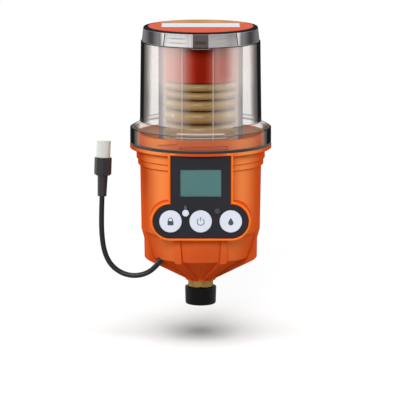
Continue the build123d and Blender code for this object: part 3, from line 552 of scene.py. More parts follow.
@dataclass(frozen=True)
class CutMetal(Finish):
    """Turned, milled or drawn metal."""

    colour: Colour = (0.7, 0.7, 0.7)
    tarnish: Colour = (0.5, 0.5, 0.5)
    lines: tuple[float, float, float] = (60.0, 60.0, 4000.0)
    depth: float = 0.2
    gloss: tuple[float, float] = (0.22, 0.42)

    def build(self) -> bpy.types.Material:
        """Make the material."""
        material, sheet, shader = self.start()
        surface = self.place(
            sheet,
            "cut",
            {
                "Colour": (*self.colour, 1),
                "Tarnish": (*self.tarnish, 1),
                "Line Direction": self.lines,
                "Line Depth": self.depth,
                "Gloss Low": self.gloss[0],
                "Gloss High": self.gloss[1],
            },
        )
        sheet.join(surface.outputs["Colour"], shader.inputs["Base Color"])
        sheet.join(surface.outputs["Roughness"], shader.inputs["Roughness"])
        sheet.join(surface.outputs["Normal"], shader.inputs["Normal"])
        shader.inputs["Metallic"].default_value = 1.0
        return material


@dataclass(frozen=True)
class Patch:
    """Part of a clear piece that is frosted, or that carries painted shade, a painted highlight or a painted
    reflection.

    Sizes are in millimetres from the axis and the base, and lean is in millimetres across for each one up.
    """

    sides: tuple[float, float]
    heights: tuple[float, float]
    colour: Colour
    alpha: float
    softness: float = 0.3
    fade: float = 0.3
    lean: float = 0.0
    both_sides: bool = True


@dataclass(frozen=True)
class ClearPlastic(Finish):
    """Clear moulded plastic: see-through where it faces the eye, dense along its edges, where the edge colour
    is painted shade.
    """

    face: Colour = (0.8, 0.8, 0.78)
    edge: Colour = (0.03, 0.028, 0.026)
    density: tuple[tuple[float, float], ...] = ((0.0, 0.05), (0.5, 0.2), (0.8, 0.9))
    edge_shade: tuple[tuple[float, float], ...] = ((0.45, 0.0), (0.75, 1.0))
    roughness: float = 0.06
    cloud: Colour = (0.7, 0.7, 0.68)
    specular: float = 0.4
    painted_glow: float = 0.0
    patches: tuple[Patch, ...] = ()

    def patched(
        self, sheet: Sheet, colour: bpy.types.NodeSocket, alpha: bpy.types.NodeSocket
    ) -> tuple[bpy.types.NodeSocket, bpy.types.NodeSocket]:
        """Lay the patches over the plain clear surface.

        Args:
            sheet: The material's nodes.
            colour: Colour of the plain surface.
            alpha: Density of the plain surface.

        Returns:
            Colour and density with the patches.
        """
        split = sheet.split()
        side = sheet.maths("ABSOLUTE", split.outputs["X"])
        for patch in self.patches:
            middle = (patch.heights[0] + patch.heights[1]) / 2 * MM
            rise = sheet.maths("SUBTRACT", split.outputs["Z"], middle)
            from_middle = side if patch.both_sides else split.outputs["X"]
            leaned = sheet.maths("ADD", from_middle, sheet.maths("MULTIPLY", rise, patch.lean))
            masks = [
                self.band(sheet, value, low * MM, high * MM, soft * MM)
                for value, (low, high), soft in (
                    (leaned, patch.sides, patch.softness),
                    (split.outputs["Z"], patch.heights, patch.fade),
                )
            ]
            mask = sheet.maths("MULTIPLY", masks[0], masks[1])
            colour = sheet.mix(mask, colour, patch.colour)
            kept = sheet.maths("MULTIPLY", alpha, sheet.maths("SUBTRACT", 1.0, mask))
            alpha = sheet.maths("ADD", kept, sheet.maths("MULTIPLY", mask, patch.alpha))
        return colour, alpha

    def build(self) -> bpy.types.Material:
        """Make the material."""
        material, sheet, shader = self.start()
        surface = self.place(
            sheet,
            "moulded",
            {
                "Colour": (*self.face, 1),
                "Shade": (*self.cloud, 1),
                "Cloud Scale": 14.0,
                "Grain Scale": 60.0,
                "Grain Depth": 0.03,
                "Gloss Low": self.roughness,
                "Gloss High": self.roughness + 0.04,
            },
        )
        facing = sheet.facing()
        # Painted shade: the edge colour darkens the plastic where it turns from the eye.
        dark = sheet.ramp(facing, self.edge_shade)
        colour = sheet.mix(dark, surface.outputs["Colour"], self.edge)
        colour, alpha = self.patched(sheet, colour, sheet.ramp(facing, self.density))
        sheet.join(colour, shader.inputs["Base Color"])
        # Painted glow: the clear piece emits its own colour though it is no lamp.
        sheet.join(colour, shader.inputs["Emission Color"])
        shader.inputs["Emission Strength"].default_value = self.painted_glow
        sheet.join(alpha, shader.inputs["Alpha"])
        sheet.join(surface.outputs["Roughness"], shader.inputs["Roughness"])
        sheet.join(surface.outputs["Normal"], shader.inputs["Normal"])
        shader.inputs["Specular IOR Level"].default_value = self.specular
        return material


@dataclass(frozen=True)
class PrintedLabel(Finish):
    """Round label: a field, a wide arc of a second colour and a pale bar left bare."""

    field_colour: Colour = (0.8, 0.15, 0.08)
    arc: Colour = (0.5, 0.3, 0.06)
    bar: Colour = (0.8, 0.82, 0.84)
    arc_edge: float = 19.5
    bar_x: float = 29.4
    bar_y: tuple[float, float] = (-7.8, 16.6)
    reach: float = 60.0
    softness: float = 0.3
    field_wear: float = 0.86
    arc_wear: float = 0.6

    def build(self) -> bpy.types.Material:
        """Make the material."""
        material, sheet, shader = self.start()
        split = sheet.node("ShaderNodeSeparateXYZ")
        place = sheet.place()
        sheet.join(place, split.inputs[0])
        soft = self.softness * MM
        x, y = split.outputs["X"], split.outputs["Y"]
        arc = self.band(sheet, y, self.arc_edge * MM, self.reach * MM, soft)
        across = self.band(sheet, x, -self.bar_x * MM, self.bar_x * MM, soft)
        along = self.band(sheet, y, self.bar_y[0] * MM, self.bar_y[1] * MM, soft)
        bar = sheet.maths("MULTIPLY", across, along)
        fleck = sheet.noise(place, 900.0, 2.0)
        cloud = sheet.noise(place, 55.0, 3.0)
        worn = ((0.35, 0.0), (0.7, 1.0))
        worn_field = tuple(share * self.field_wear for share in self.field_colour)
        worn_arc = tuple(share * self.arc_wear for share in self.arc)
        red = sheet.mix(sheet.ramp(fleck, worn), self.field_colour, worn_field)
        gold = sheet.mix(sheet.ramp(cloud, worn), self.arc, worn_arc)
        sheet.join(sheet.mix(bar, sheet.mix(arc, red, gold), self.bar), shader.inputs["Base Color"])
        bump = sheet.node("ShaderNodeBump")
        bump.inputs["Strength"].default_value = 0.05
        bump.inputs["Distance"].default_value = LINE_HEIGHT
        sheet.join(fleck, bump.inputs["Height"])
        sheet.join(bump.outputs["Normal"], shader.inputs["Normal"])
        shader.inputs["Roughness"].default_value = 0.45
        shader.inputs["Specular IOR Level"].default_value = 0.0
        return material


class Palette:
    """Every finish of the lubricator, ready to build."""

    ORANGE = PaintedHighlightPlastic(
        "orange_moulded",
        rgb(208, 82, 32),
        rgb(202, 77, 28),
        gloss=(0.4, 0.5),
        grain=0.1,
        specular=0.0,
        # Painted highlight: the housing's orange lightens where it turns from the eye, as under lamps at its
        # sides, fully above 70 mm.
        side=rgb(236, 136, 71),
        turn=(
            (0.03, 0.0),
            (0.1, 0.3),
            (0.19, 0.9),
            (0.27, 1.0),
            (0.36, 0.78),
            (0.46, 0.42),
            (0.56, 0.12),
            (0.66, 0.0),
        ),
        height=70.0,
        reach=62.0,
    )
    # Painted highlight: the bead's orange is lighter than the housing's, as on an edge that catches the light.
    BEAD_HIGHLIGHT = Moulded(
        "orange_bead_highlight",
        rgb(244, 112, 24),
        rgb(240, 106, 20),
        gloss=(0.2, 0.28),
        grain=0.03,
        specular=0.3,
        tint=(1.0, 0.7, 0.2),
    )
    # Painted shade: the deck's orange darkened to the dark red it shows under the cover.
    ORANGE_DECK = Moulded(
        "orange_deck", rgb(104, 22, 8), rgb(96, 20, 7), gloss=(0.4, 0.55), specular=0.05
    )
    BRASS = CutMetal("turned_brass", rgb(142, 116, 66), rgb(104, 78, 42), gloss=(0.3, 0.45))
    STEEL = CutMetal("ground_steel", rgb(196, 198, 202), rgb(150, 152, 158))
    PUMP = CutMetal(
        "cast_alloy",
        rgb(190, 192, 196),
        rgb(150, 152, 156),
        lines=(400.0, 400.0, 400.0),
        depth=0.5,
        gloss=(0.4, 0.6),
    )
    MOTOR = CutMetal(
        "drawn_can",
        rgb(186, 188, 194),
        rgb(140, 142, 150),
        lines=(40.0, 40.0, 900.0),
        depth=0.1,
        gloss=(0.25, 0.4),
    )
    BLACK_CAP = Moulded(
        "black_cap",
        rgb(20, 20, 23),
        rgb(15, 15, 17),
        gloss=(0.4, 0.5),
        grain=0.3,
        grain_scale=1200.0,
        specular=0.05,
    )
    PANEL = Moulded(
        "panel_black",
        rgb(34, 34, 40),
        rgb(30, 30, 35),
        gloss=(0.5, 0.6),
        grain=0.1,
        grain_scale=2600.0,
        specular=0.15,
    )
    DISPLAY = Moulded(
        "display_teal",
        rgb(99, 146, 144),
        rgb(92, 137, 136),
        gloss=(0.4, 0.5),
        grain=0.02,
        cloud_scale=40.0,
        specular=0.15,
    )
    WINDOW = ClearPlastic(
        "window_clear",
        rgb(90, 124, 124),
        rgb(40, 60, 60),
        ((0.0, 0.1), (0.6, 0.2), (0.95, 0.8)),
        ((0.6, 0.0), (0.95, 0.7)),
        0.2,
        rgb(84, 118, 118),
        specular=0.1,
    )
    BUTTON = Moulded(
        "button_pale",
        rgb(222, 227, 238),
        rgb(214, 220, 232),
        gloss=(0.4, 0.5),
        grain=0.06,
        grain_scale=2200.0,
        specular=0.2,
    )
    MARK = Moulded(
        "mark_grey", rgb(74, 78, 88), rgb(62, 66, 76), gloss=(0.5, 0.6), grain=0.02, specular=0.2
    )
    PALE_MARK = Moulded(
        "mark_pale", rgb(150, 154, 164), rgb(140, 144, 154), gloss=(0.5, 0.6), grain=0.02, specular=0.2
    )
    LIGHT = Moulded(
        "light_off", rgb(64, 68, 74), rgb(56, 60, 66), gloss=(0.2, 0.3), grain=0.02, specular=0.3
    )
    BOARD = Moulded(
        "board_green", rgb(30, 92, 56), rgb(22, 74, 44), gloss=(0.3, 0.45), cloud_scale=300.0
    )
    RUBBER = Moulded(
        "black_rubber",
        rgb(40, 46, 54),
        rgb(32, 38, 44),
        gloss=(0.45, 0.6),
        grain=0.2,
        grain_scale=900.0,
        specular=0.2,
    )
    BELLOWS = FoldedRubber(
        "bellows_rubber",
        rgb(182, 147, 90),
        rgb(170, 131, 76),
        gloss=(0.26, 0.36),
        grain=0.06,
        specular=0.35,
        # Painted shade in the bellows' valleys.
        valley=rgb(58, 30, 10),
        rise=2.0,
    )
    CUP = PaintedHighlightPlastic(
        "cup_red",
        rgb(144, 28, 9),
        rgb(138, 25, 7),
        gloss=(0.4, 0.5),
        grain=0.06,
        specular=0.0,
        # Painted highlight: the cup's red is darker straight ahead and lighter where it turns from the eye.
        side=rgb(196, 64, 42),
    )
    COVER = ClearPlastic(
        "cover_clear",
        rgb(246, 238, 230),
        rgb(24, 23, 23),
        (
            (0.014, 0.0),
            (0.021, 0.012),
            (0.031, 0.035),
            (0.064, 0.08),
            (0.118, 0.14),
            (0.2, 0.17),
            (0.33, 0.15),
            (0.48, 0.14),
            (0.54, 0.45),
            (0.62, 0.85),
            (0.7, 0.97),
        ),
        ((0.25, 0.0), (0.3, 0.42), (0.47, 0.46), (0.56, 0.8), (0.68, 1.0)),
        0.06,
        rgb(240, 232, 224),
        specular=0.0,
        painted_glow=0.34,
        patches=(
            # Painted reflection: a pale veil of the lamps over both sides of the cover, lessened on the right.
            Patch((10.0, 41.0), (148.0, 260.0), rgb(240, 226, 218), 0.24, 14.0, 14.0),
            Patch((9.0, 24.0), (152.0, 260.0), rgb(196, 182, 174), 0.12, 6.0, 14.0, both_sides=False),
            # Over the rim band the pale grey is its frosting; the darker and lighter patches and lines after
            # it are painted shade and painted highlights, and the dark bands at its top and foot are painted
            # shade.
            Patch((-90.0, 60.0), (187.7, 197.4), rgb(190, 188, 188), 0.9),
            Patch((6.0, 27.0), (187.7, 197.4), rgb(150, 147, 146), 0.9, 0.5, both_sides=False),
            Patch((17.0, 27.0), (187.7, 197.4), rgb(122, 119, 119), 0.9, 7.0, both_sides=False),
            Patch((-12.0, -6.0), (187.7, 197.4), rgb(146, 143, 142), 0.9, 8.0, both_sides=False),
            Patch((9.0, 26.0), (193.2, 194.4), rgb(128, 126, 128), 0.9, 5.0, 0.5),
            Patch((9.0, 26.0), (190.0, 191.0), rgb(142, 140, 140), 0.9, 5.0, 0.3),
            Patch((28.0, 60.0), (187.7, 197.4), rgb(104, 102, 102), 0.92, 2.0),
            Patch((32.0, 42.0), (187.7, 197.4), rgb(56, 56, 58), 0.92, 4.0),
            Patch((26.5, 27.5), (187.7, 197.4), rgb(20, 20, 23), 0.97, 0.3, 0.2, 0.12),
            Patch((-90.0, 6.0), (186.4, 197.4), rgb(82, 73, 71), 0.94),
            Patch((-90.0, 5.4), (189.4, 193.2), rgb(58, 53, 51), 0.94, 2.5, 1.6),
            Patch((6.0, 7.0), (186.6, 197.4), rgb(150, 148, 150), 0.92, 0.3),
            Patch((-90.0, 60.0), (197.2, 202.0), rgb(24, 25, 28), 0.97),
            Patch((-90.0, 60.0), (187.0, 187.8), rgb(18, 18, 20), 0.95, 0.2, 0.2),
            # Skirt and shoulder: a faint veil that is a painted reflection, a darker shoulder and dark lines
            # along its edges that are painted shade, and two pale lines that are painted highlights.
            Patch((-90.0, 47.5), (100.0, 122.9), rgb(180, 140, 116), 0.11, 2.5, 0.5),
            Patch((-90.0, 60.0), (122.9, 127.4), rgb(150, 132, 116), 0.2, 4.0, 0.5),
            Patch((14.0, 60.0), (122.2, 122.9), rgb(34, 32, 32), 0.75, 12.0, 0.2),
            Patch((14.0, 60.0), (127.0, 127.7), rgb(34, 32, 32), 0.6, 12.0, 0.2),
            Patch((-90.0, 19.5), (123.5, 124.1), rgb(196, 192, 188), 0.6, 3.0, 0.2),
            Patch((-90.0, 20.5), (121.0, 121.6), rgb(190, 184, 180), 0.6, 3.0, 0.2),
        ),
    )
    SLEEVE = ClearPlastic(
        "sleeve_clear",
        rgb(240, 236, 234),
        rgb(82, 84, 96),
        ((0.0, 0.0), (0.2, 0.01), (0.45, 0.05), (0.56, 0.4), (0.66, 0.85)),
        ((0.46, 0.0), (0.6, 1.0)),
        0.1,
        specular=0.0,
        painted_glow=0.2,
    )
    COVER_MARK = Moulded(
        "cover_mark", rgb(104, 66, 58), rgb(92, 58, 52), gloss=(0.4, 0.5), specular=0.0
    )
    LABEL = PrintedLabel("cover_label", rgb(180, 84, 64), rgb(166, 130, 84), rgb(176, 184, 190))
    GEAR = Moulded("gear_white", rgb(222, 220, 208), rgb(210, 206, 192), gloss=(0.35, 0.5))
    CABLE = Moulded(
        "cable_sheath",
        rgb(27, 28, 29),
        rgb(21, 22, 23),
        gloss=(0.24, 0.32),
        grain=0.1,
        grain_scale=900.0,
        specular=0.2,
    )
    CONNECTOR = Moulded(
        "connector_black",
        rgb(44, 42, 44),
        rgb(36, 35, 37),
        gloss=(0.42, 0.55),
        grain=0.14,
        grain_scale=1400.0,
        specular=0.25,
    )
    DUST_CAP = Moulded(
        "dust_cap_white",
        rgb(208, 208, 204),
        rgb(199, 199, 194),
        gloss=(0.4, 0.5),
        grain=0.06,
        specular=0.2,
    )
    SEAM = Moulded(
        "seam_pale",
        rgb(224, 212, 204),
        rgb(214, 202, 194),
        gloss=(0.3, 0.4),
        grain=0.02,
        specular=0.3,
    )


NODE_FINISHES: dict[str, Finish] = {
    "housing": Palette.ORANGE,
    "outlet_fitting": Palette.BRASS,
    "check_ball": Palette.STEEL,
    "spring_seat": Palette.BRASS,
    "check_spring": Palette.STEEL,
    "outlet_cap": Palette.BLACK_CAP,
    "panel_plate": Palette.PANEL,
    "display_window": Palette.WINDOW,
    "display_module": Palette.DISPLAY,
    "status_light": Palette.LIGHT,
    "circuit_board": Palette.BOARD,
    "left_button": Palette.BUTTON,
    "centre_button": Palette.BUTTON,
    "right_button": Palette.BUTTON,
    "reset_button": Palette.BUTTON,
    "deck_plate": Palette.ORANGE_DECK,
    "deck_screws": Palette.STEEL,
    "guide_sleeve": Palette.SLEEVE,
    "follower_cup": Palette.CUP,
    "cover_seal": Palette.RUBBER,
    "top_cover": Palette.COVER,
    "top_label": Palette.LABEL,
    "pump_body": Palette.PUMP,
    "feed_tube": Palette.BLACK_CAP,
    "plunger": Palette.STEEL,
    "plunger_spring": Palette.STEEL,
    "cam_gear": Palette.GEAR,
    "reduction_gear": Palette.GEAR,
    "motor_pinion": Palette.BRASS,
    "drive_plate": Palette.STEEL,
    "motor": Palette.MOTOR,
    "cable_grommet": Palette.RUBBER,
    "strain_relief": Palette.CONNECTOR,
    "connector_body": Palette.CONNECTOR,
    "connector_cap": Palette.DUST_CAP,
}


# ---------------------------------------------------------------------------------------------- mesh work
def finish_mesh(
    name: str, bm: bmesh.types.BMesh, material: bpy.types.Material, smooth: bool = True
) -> bpy.types.Object:
    """Turn an edited mesh into an object with a material.

    Args:
        name: The piece's name.
        bm: The edited mesh, in metres.
        material: What it is made of.
        smooth: Shade it smooth where its faces meet at under 35 degrees.

    Returns:
        The new object.
    """
    bmesh.ops.recalc_face_normals(bm, faces=bm.faces)
    mesh = bpy.data.meshes.new(name)
    bm.to_mesh(mesh)
    bm.free()
    kept_normals = mesh.attributes.get("custom_normal")
    if kept_normals is not None:
        mesh.attributes.remove(kept_normals)
    mesh.materials.append(material)
    made = bpy.data.objects.new(name, mesh)
    bpy.context.scene.collection.objects.link(made)
    if smooth:
        mesh.shade_smooth()
        mesh.set_sharp_from_angle(angle=SHARP_EDGE)
    return made


def turned(
    name: str,
    profile: Sequence[Point],
    material: bpy.types.Material,
    steps: int = 96,
) -> bpy.types.Object:
    """Turn a closed profile around the frame's own axis.

    Args:
        name: The piece's name.
        profile: Radius and height of each point, in millimetres, in order around the section.
        material: What it is made of.
        steps: Faces around the axis.

    Returns:
        The new object.
    """
    bm = bmesh.new()
    rings = []
    for radius, height in profile:
        if radius == 0:
            rings.append([bm.verts.new((0, 0, height * MM))] * steps)
            continue
        ring = []
        for step in range(steps):
            angle = 2 * math.pi * step / steps
            x, y = radius * MM * math.cos(angle), radius * MM * math.sin(angle)
            ring.append(bm.verts.new((x, y, height * MM)))
        rings.append(ring)
    for lower, upper in zip(rings, rings[1:] + rings[:1]):
        for step in range(steps):
            following = (step + 1) % steps
            corners = list(dict.fromkeys((lower[step], lower[following], upper[following], upper[step])))
            if len(corners) > 2:
                bm.faces.new(corners)
    return finish_mesh(name, bm, material)


def raised(
    name: str,
    outlines: Sequence[Sequence[Point]],
    material: bpy.types.Material,
    surface: "Surface",
    thickness: float,
) -> bpy.types.Object:
    """Build thin raised marks on the front.

    Args:
        name: The piece's name.
        outlines: Convex outlines as x and z in millimetres.
        material: What the marks are made of.
        surface: The surface that they lie on.
        thickness: How far they stand out, in millimetres.

    Returns:
        The new object.
    """
    sunk = -0.02
    bm = bmesh.new()
    for outline in outlines:
        back = [bm.verts.new(surface.point(x, z, sunk)) for x, z in outline]
        front = [bm.verts.new(surface.point(x, z, thickness)) for x, z in outline]
        bm.faces.new(back)
        bm.faces.new(front)
        for i in range(len(outline)):
            j = (i + 1) % len(outline)
            bm.faces.new((back[i], back[j], front[j], front[i]))
    return finish_mesh(name, bm, material, smooth=False)


class SurfaceKind(Enum):
    """How a marked surface is shaped."""

    FLAT = "flat"
    ROUND = "round"


@dataclass(frozen=True)
class Surface:
    """A surface at the front that marks lie on, flat at a distance or round about the axis."""

    kind: SurfaceKind
    distance: float

    def point(self, x: float, z: float, out: float) -> Vector:
        """Give a point on the surface.

        Args:
            x: Sideways place in millimetres, measured along the surface.
            z: Height in millimetres.
            out: Distance out of the surface in millimetres.

        Returns:
            The point in metres.
        """
        if self.kind is SurfaceKind.FLAT:
            return Vector((x, -self.distance - out, z)) * MM
        angle = x / self.distance
        radius = self.distance + out
        return Vector((radius * math.sin(angle), -radius * math.cos(angle), z)) * MM


def arc_strips(
    centre: Point, radius: float, width: float, start: float, stop: float, steps: int
) -> list[list[Point]]:
    """Outline a curved stroke as short convex pieces.

    Args:
        centre: Centre of the arc, x and z.
        radius: Radius of the stroke's middle.
        width: Width of the stroke.
        start: First angle in degrees from +X.
        stop: Last angle in degrees.
        steps: Number of pieces.

    Returns:
        The outlines.
    """
    strips = []
    for step in range(steps):
        low = math.radians(start + (stop - start) * step / steps)
        high = math.radians(start + (stop - start) * (step + 1) / steps)
        strips.append(
            [
                (centre[0] + r * math.cos(a), centre[1] + r * math.sin(a))
                for r, a in (
                    (radius - width / 2, low),
                    (radius + width / 2, low),
                    (radius + width / 2, high),
                    (radius - width / 2, high),
                )
            ]
        )
    return strips


def line_strips(start: Point, stop: Point, width: float, steps: int = 1) -> list[list[Point]]:
    """Outline a straight stroke.

    Args:
        start: First end, x and z.
        stop: Other end, x and z.
        width: Width of the stroke.
        steps: Number of pieces along it.

    Returns:
        The outlines.
    """
    along = Vector((stop[0] - start[0], stop[1] - start[1]))
    side = Vector((-along.y, along.x)).normalized() * width / 2
    strips = []
    for step in range(steps):
        low = Vector(start) + along * step / steps
        high = Vector(start) + along * (step + 1) / steps
        strips.append([tuple(low - side), tuple(high - side), tuple(high + side), tuple(low + side)])
    return strips


# ---------------------------------------------------------------------------------------------- pieces
@dataclass
class GreaseSide:
    """The bellows, which holds the grease, and its head inside the follower cup. Sizes in millimetres."""

    crest: float = 29.0
    depth: float = 2.6
    neck: float = 6.0
    foot: float = 105.2
    bottom: float = 107.3
    folds: tuple[float, ...] = (10.3, 9.8, 10.1, 8.2, 6.3, 6.9)
    steps: int = 14
    head: float = 188.3
    travel: float = 38.0
    play: float = 0.3

    def profile(self) -> list[Point]:
        """Trace the bellows' section, with round crests and tight valleys.

        Returns:
            Radius and height of each point.
        """
        valley = self.crest - self.depth
        points = [(0.0, self.foot), (self.neck, self.foot), (self.neck, self.bottom)]
        points += [(valley - 0.6, self.bottom), (valley, self.bottom + 0.3)]
        height = self.bottom
        for pitch in self.folds:
            for step in range(1, self.steps):
                share = step / self.steps
                swell = math.sin(math.pi * share) ** 0.8
                points.append((valley + self.depth * swell, height + pitch * share))
            height += pitch
            points.append((valley - 0.25, height))
        return [*points, (0.0, height)]

    def build(self) -> None:
        """Make the bellows on the housing and its head on the follower cup."""
        bellows = turned("grease_bellows", self.profile(), Workshop.material(Palette.BELLOWS), 128)
        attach(bellows, "housing")
        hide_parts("bellows")
        height = sum(self.folds)
        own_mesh(bellows)
        base = self.bottom + height
        radius = self.crest - self.depth - self.play
        column = [(0.0, base), (radius, base), (radius, self.head), (0.0, self.head)]
        head = turned("grease_head", column, Workshop.material(Palette.BELLOWS))
        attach(head, "follower_cup")
        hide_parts("bellows")
        log.info("bellows: %d folds", len(self.folds))


@dataclass
class SleeveSeams:
    """Two mould seams up the front of the guide sleeve. Sizes in millimetres."""

    radius: float = 31.72
    places: tuple[float, ...] = (-14.4, 9.4)
    width: float = 0.45
    bottom: float = 110.0
    top: float = 186.6
    thickness: float = 0.06

    def build(self) -> None:
        """Make the seams."""
        surface = Surface(SurfaceKind.ROUND, self.radius)
        strokes = [
            strip
            for x in self.places
            for strip in line_strips((x, self.bottom), (x, self.top), self.width)
        ]
        material = Workshop.material(Palette.SEAM)
        piece = raised("sleeve_seams", strokes, material, surface, self.thickness)
        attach(piece, "housing")
        log.info("sleeve seams: %d", len(self.places))


@dataclass
class ControlPanel:
    """Generic marks on the buttons and the panel. Sizes in millimetres."""

    face: float = 48.7
    button_face: float = 49.6
    pitch: float = 22.4
    height: float = 58.5
    reset: Point = (-11.2, 64.7)
    stroke: float = 0.55
    thickness: float = 0.03
    parts: list[bpy.types.Object] = field(default_factory=list)

    def mark(
        self,
        name: str,
        body: str,
        outlines: Sequence[Sequence[Point]],
        finish: Finish,
        face: float,
    ) -> None:
        """Make one mark and set it on its body.

        Args:
            name: The piece's name.
            body: Body that it rides on.
            outlines: Its strokes.
            finish: Its finish.
            face: Distance of the marked face from the axis.
        """
        surface = Surface(SurfaceKind.FLAT, face)
        piece = raised(name, outlines, Workshop.material(finish), surface, self.thickness)
        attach(piece, body)
        self.parts.append(piece)

    def power_sign(self) -> list[list[Point]]:
        """Outline the sign for on and off: an open ring with a bar."""
        centre = (0.0, self.height - 0.2)
        ring = arc_strips(centre, 2.6, self.stroke, 125, 415, 30)
        return ring + line_strips((0.0, self.height + 0.4), (0.0, self.height + 3.4), self.stroke)

    def lock_sign(self) -> list[list[Point]]:
        """Outline a small padlock."""
        x, z = -self.pitch, self.height
        body = [[(x - 2.2, z - 2.8), (x + 2.2, z - 2.8), (x + 2.2, z + 0.4), (x - 2.2, z + 0.4)]]
        bow = arc_strips((x, z + 1.2), 1.5, self.stroke, 0, 180, 14)
        legs = line_strips((x - 1.5, z + 0.3), (x - 1.5, z + 1.2), self.stroke)
        return body + bow + legs + line_strips((x + 1.5, z + 0.3), (x + 1.5, z + 1.2), self.stroke)

    def drop_sign(self) -> list[list[Point]]:
        """Outline a drop of lubricant."""
        x, z = self.pitch, self.height - 0.9
        steps = 28
        points = []
        for step in range(steps):
            angle = 2 * math.pi * step / steps
            lift = 1.0 if math.sin(angle) < 0 else 1.0 + 0.75 * math.sin(angle) ** 3
            narrow = 1.0 if math.sin(angle) < 0 else 1.0 - 0.25 * math.sin(angle)
            points.append((x + 2.0 * narrow * math.cos(angle), z + 2.0 * lift * math.sin(angle)))
        return [[(x, z), points[i], points[(i + 1) % steps]] for i in range(steps)]

    def build(self) -> None:
        """Make every mark."""
        for name, body, sign in (
            ("power_mark", "centre_button", self.power_sign()),
            ("lock_mark", "left_button", self.lock_sign()),
            ("drop_mark", "right_button", self.drop_sign()),
        ):
            self.mark(name, body, sign, Palette.MARK, self.button_face)
        circle = arc_strips((self.reset[0], self.reset[1] + 4.4), 0.8, 0.32, 60, 360, 16)
        self.mark("reset_mark", "housing", circle, Palette.PALE_MARK, self.face)
        log.info("panel: %d marks", len(self.parts))


@dataclass
class PanelBead:
    """The rounded, glossy edge of the boss that frames the panel, lighter than the housing as a painted
    highlight. Sizes in millimetres.
    """

    face: float = 49.3
    grow: float = 0.95
    radius: float = 0.8
    upper_width: float = 44.6
    upper_top: float = 107.8
    lower_width: float = 71.2
    lower_height: float = 25.7
    lower_centre: float = 58.5
    sides: int = 12
    steps: int = 32

    def outline(self) -> list[Point]:
        """Trace the bead's middle line, as x and z, all around the panel.

        Returns:
            The line's points in order.
        """
        half = self.upper_width / 2 + self.grow
        arc_radius = self.lower_height / 2 + self.grow
        arc_middle = (self.lower_width - self.lower_height) / 2
        meet = math.acos((half - arc_middle) / arc_radius)
        right = []
        for step in range(self.steps + 1):
            angle = meet - (meet + math.pi / 2) * step / self.steps
            x = arc_middle + arc_radius * math.cos(angle)
            right.append((x, self.lower_centre + arc_radius * math.sin(angle)))
        top = self.upper_top + self.grow
        left = [(-x, z) for x, z in reversed(right)]
        return [(half, top), *right, *left, (-half, top)]

    def build(self) -> None:
        """Make the bead."""
        line = self.outline()
        bm = bmesh.new()
        rings = []
        for before, here, after in zip(line[-1:] + line[:-1], line, line[1:] + line[:1]):
            first = (Vector(here) - Vector(before)).normalized()
            second = (Vector(after) - Vector(here)).normalized()
            out = Vector((first.y + second.y, -first.x - second.x)).normalized()
            reach = self.radius / max(out.dot(Vector((first.y, -first.x))), 0.4)
            ring = []
            for side in range(self.sides):
                turn = 2 * math.pi * side / self.sides
                across = out * reach * math.cos(turn)
                y = -self.face - self.radius * math.sin(turn)
                place = (here[0] + across.x, y, here[1] + across.y)
                ring.append(bm.verts.new(tuple(c * MM for c in place)))
            rings.append(ring)
        for ring, following in zip(rings, rings[1:] + rings[:1]):
            for side in range(self.sides):
                after = (side + 1) % self.sides
                bm.faces.new((ring[side], ring[after], following[after], following[side]))
        piece = finish_mesh("panel_bead", bm, Workshop.material(Palette.BEAD_HIGHLIGHT))
        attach(piece, "housing")
        log.info("panel bead: %d points", len(line))


@dataclass
class ClearCover:
    """The clear cover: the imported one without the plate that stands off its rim.

    Sizes are in millimetres. The plate lies between low and high, outside the tapered rim.
    """

    low: tuple[float, float, float] = (42.2, -11.1, 188.6)
    high: tuple[float, float, float] = (46.1, 0.1, 196.7)
    foot: tuple[float, float] = (44.25, 187.6)
    taper: float = 0.1158
    slack: float = 0.01
    weld: float = 0.001

    def stands_off(self, face: bmesh.types.BMFace) -> bool:
        """Tell whether a face belongs to the plate and not to the rim.

        Args:
            face: A face of the cover.

        Returns:
            True for a face of the plate.
        """
        inside = all(
            low <= c / MM <= high
            for vert in face.verts
            for low, c, high in zip(self.low, vert.co, self.high)
        )
        middle = face.calc_center_median() / MM
        rim = self.foot[0] - self.taper * (middle.z - self.foot[1])
        return inside and math.hypot(middle.x, middle.y) > rim + self.slack

    def build(self, nodes: dict[str, bpy.types.Object]) -> None:
        """Make the cover.

        Args:
            nodes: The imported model's pieces by name.
        """
        bm = bmesh.new()
        bm.from_mesh(nodes["top_cover"].data)
        bmesh.ops.remove_doubles(bm, verts=bm.verts, dist=self.weld * MM)
        plate = [face for face in bm.faces if self.stands_off(face)]
        bmesh.ops.delete(bm, geom=plate, context="FACES")
        open_edges = [edge for edge in bm.edges if edge.is_boundary]
        filled = bmesh.ops.holes_fill(bm, edges=open_edges, sides=0)
        bmesh.ops.triangulate(bm, faces=filled["faces"])
        loose = [edge for edge in bm.edges if not edge.link_faces]
        bmesh.ops.delete(bm, geom=loose, context="EDGES")
        alone = [vert for vert in bm.verts if not vert.link_faces]
        bmesh.ops.delete(bm, geom=alone, context="VERTS")
        cover = finish_mesh("clear_cover", bm, Workshop.material(Palette.COVER))
        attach(cover, "top_cover")
        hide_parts("top_cover")
        log.info("cover: %d faces of the plate gone, %d edges closed", len(plate), len(open_edges))


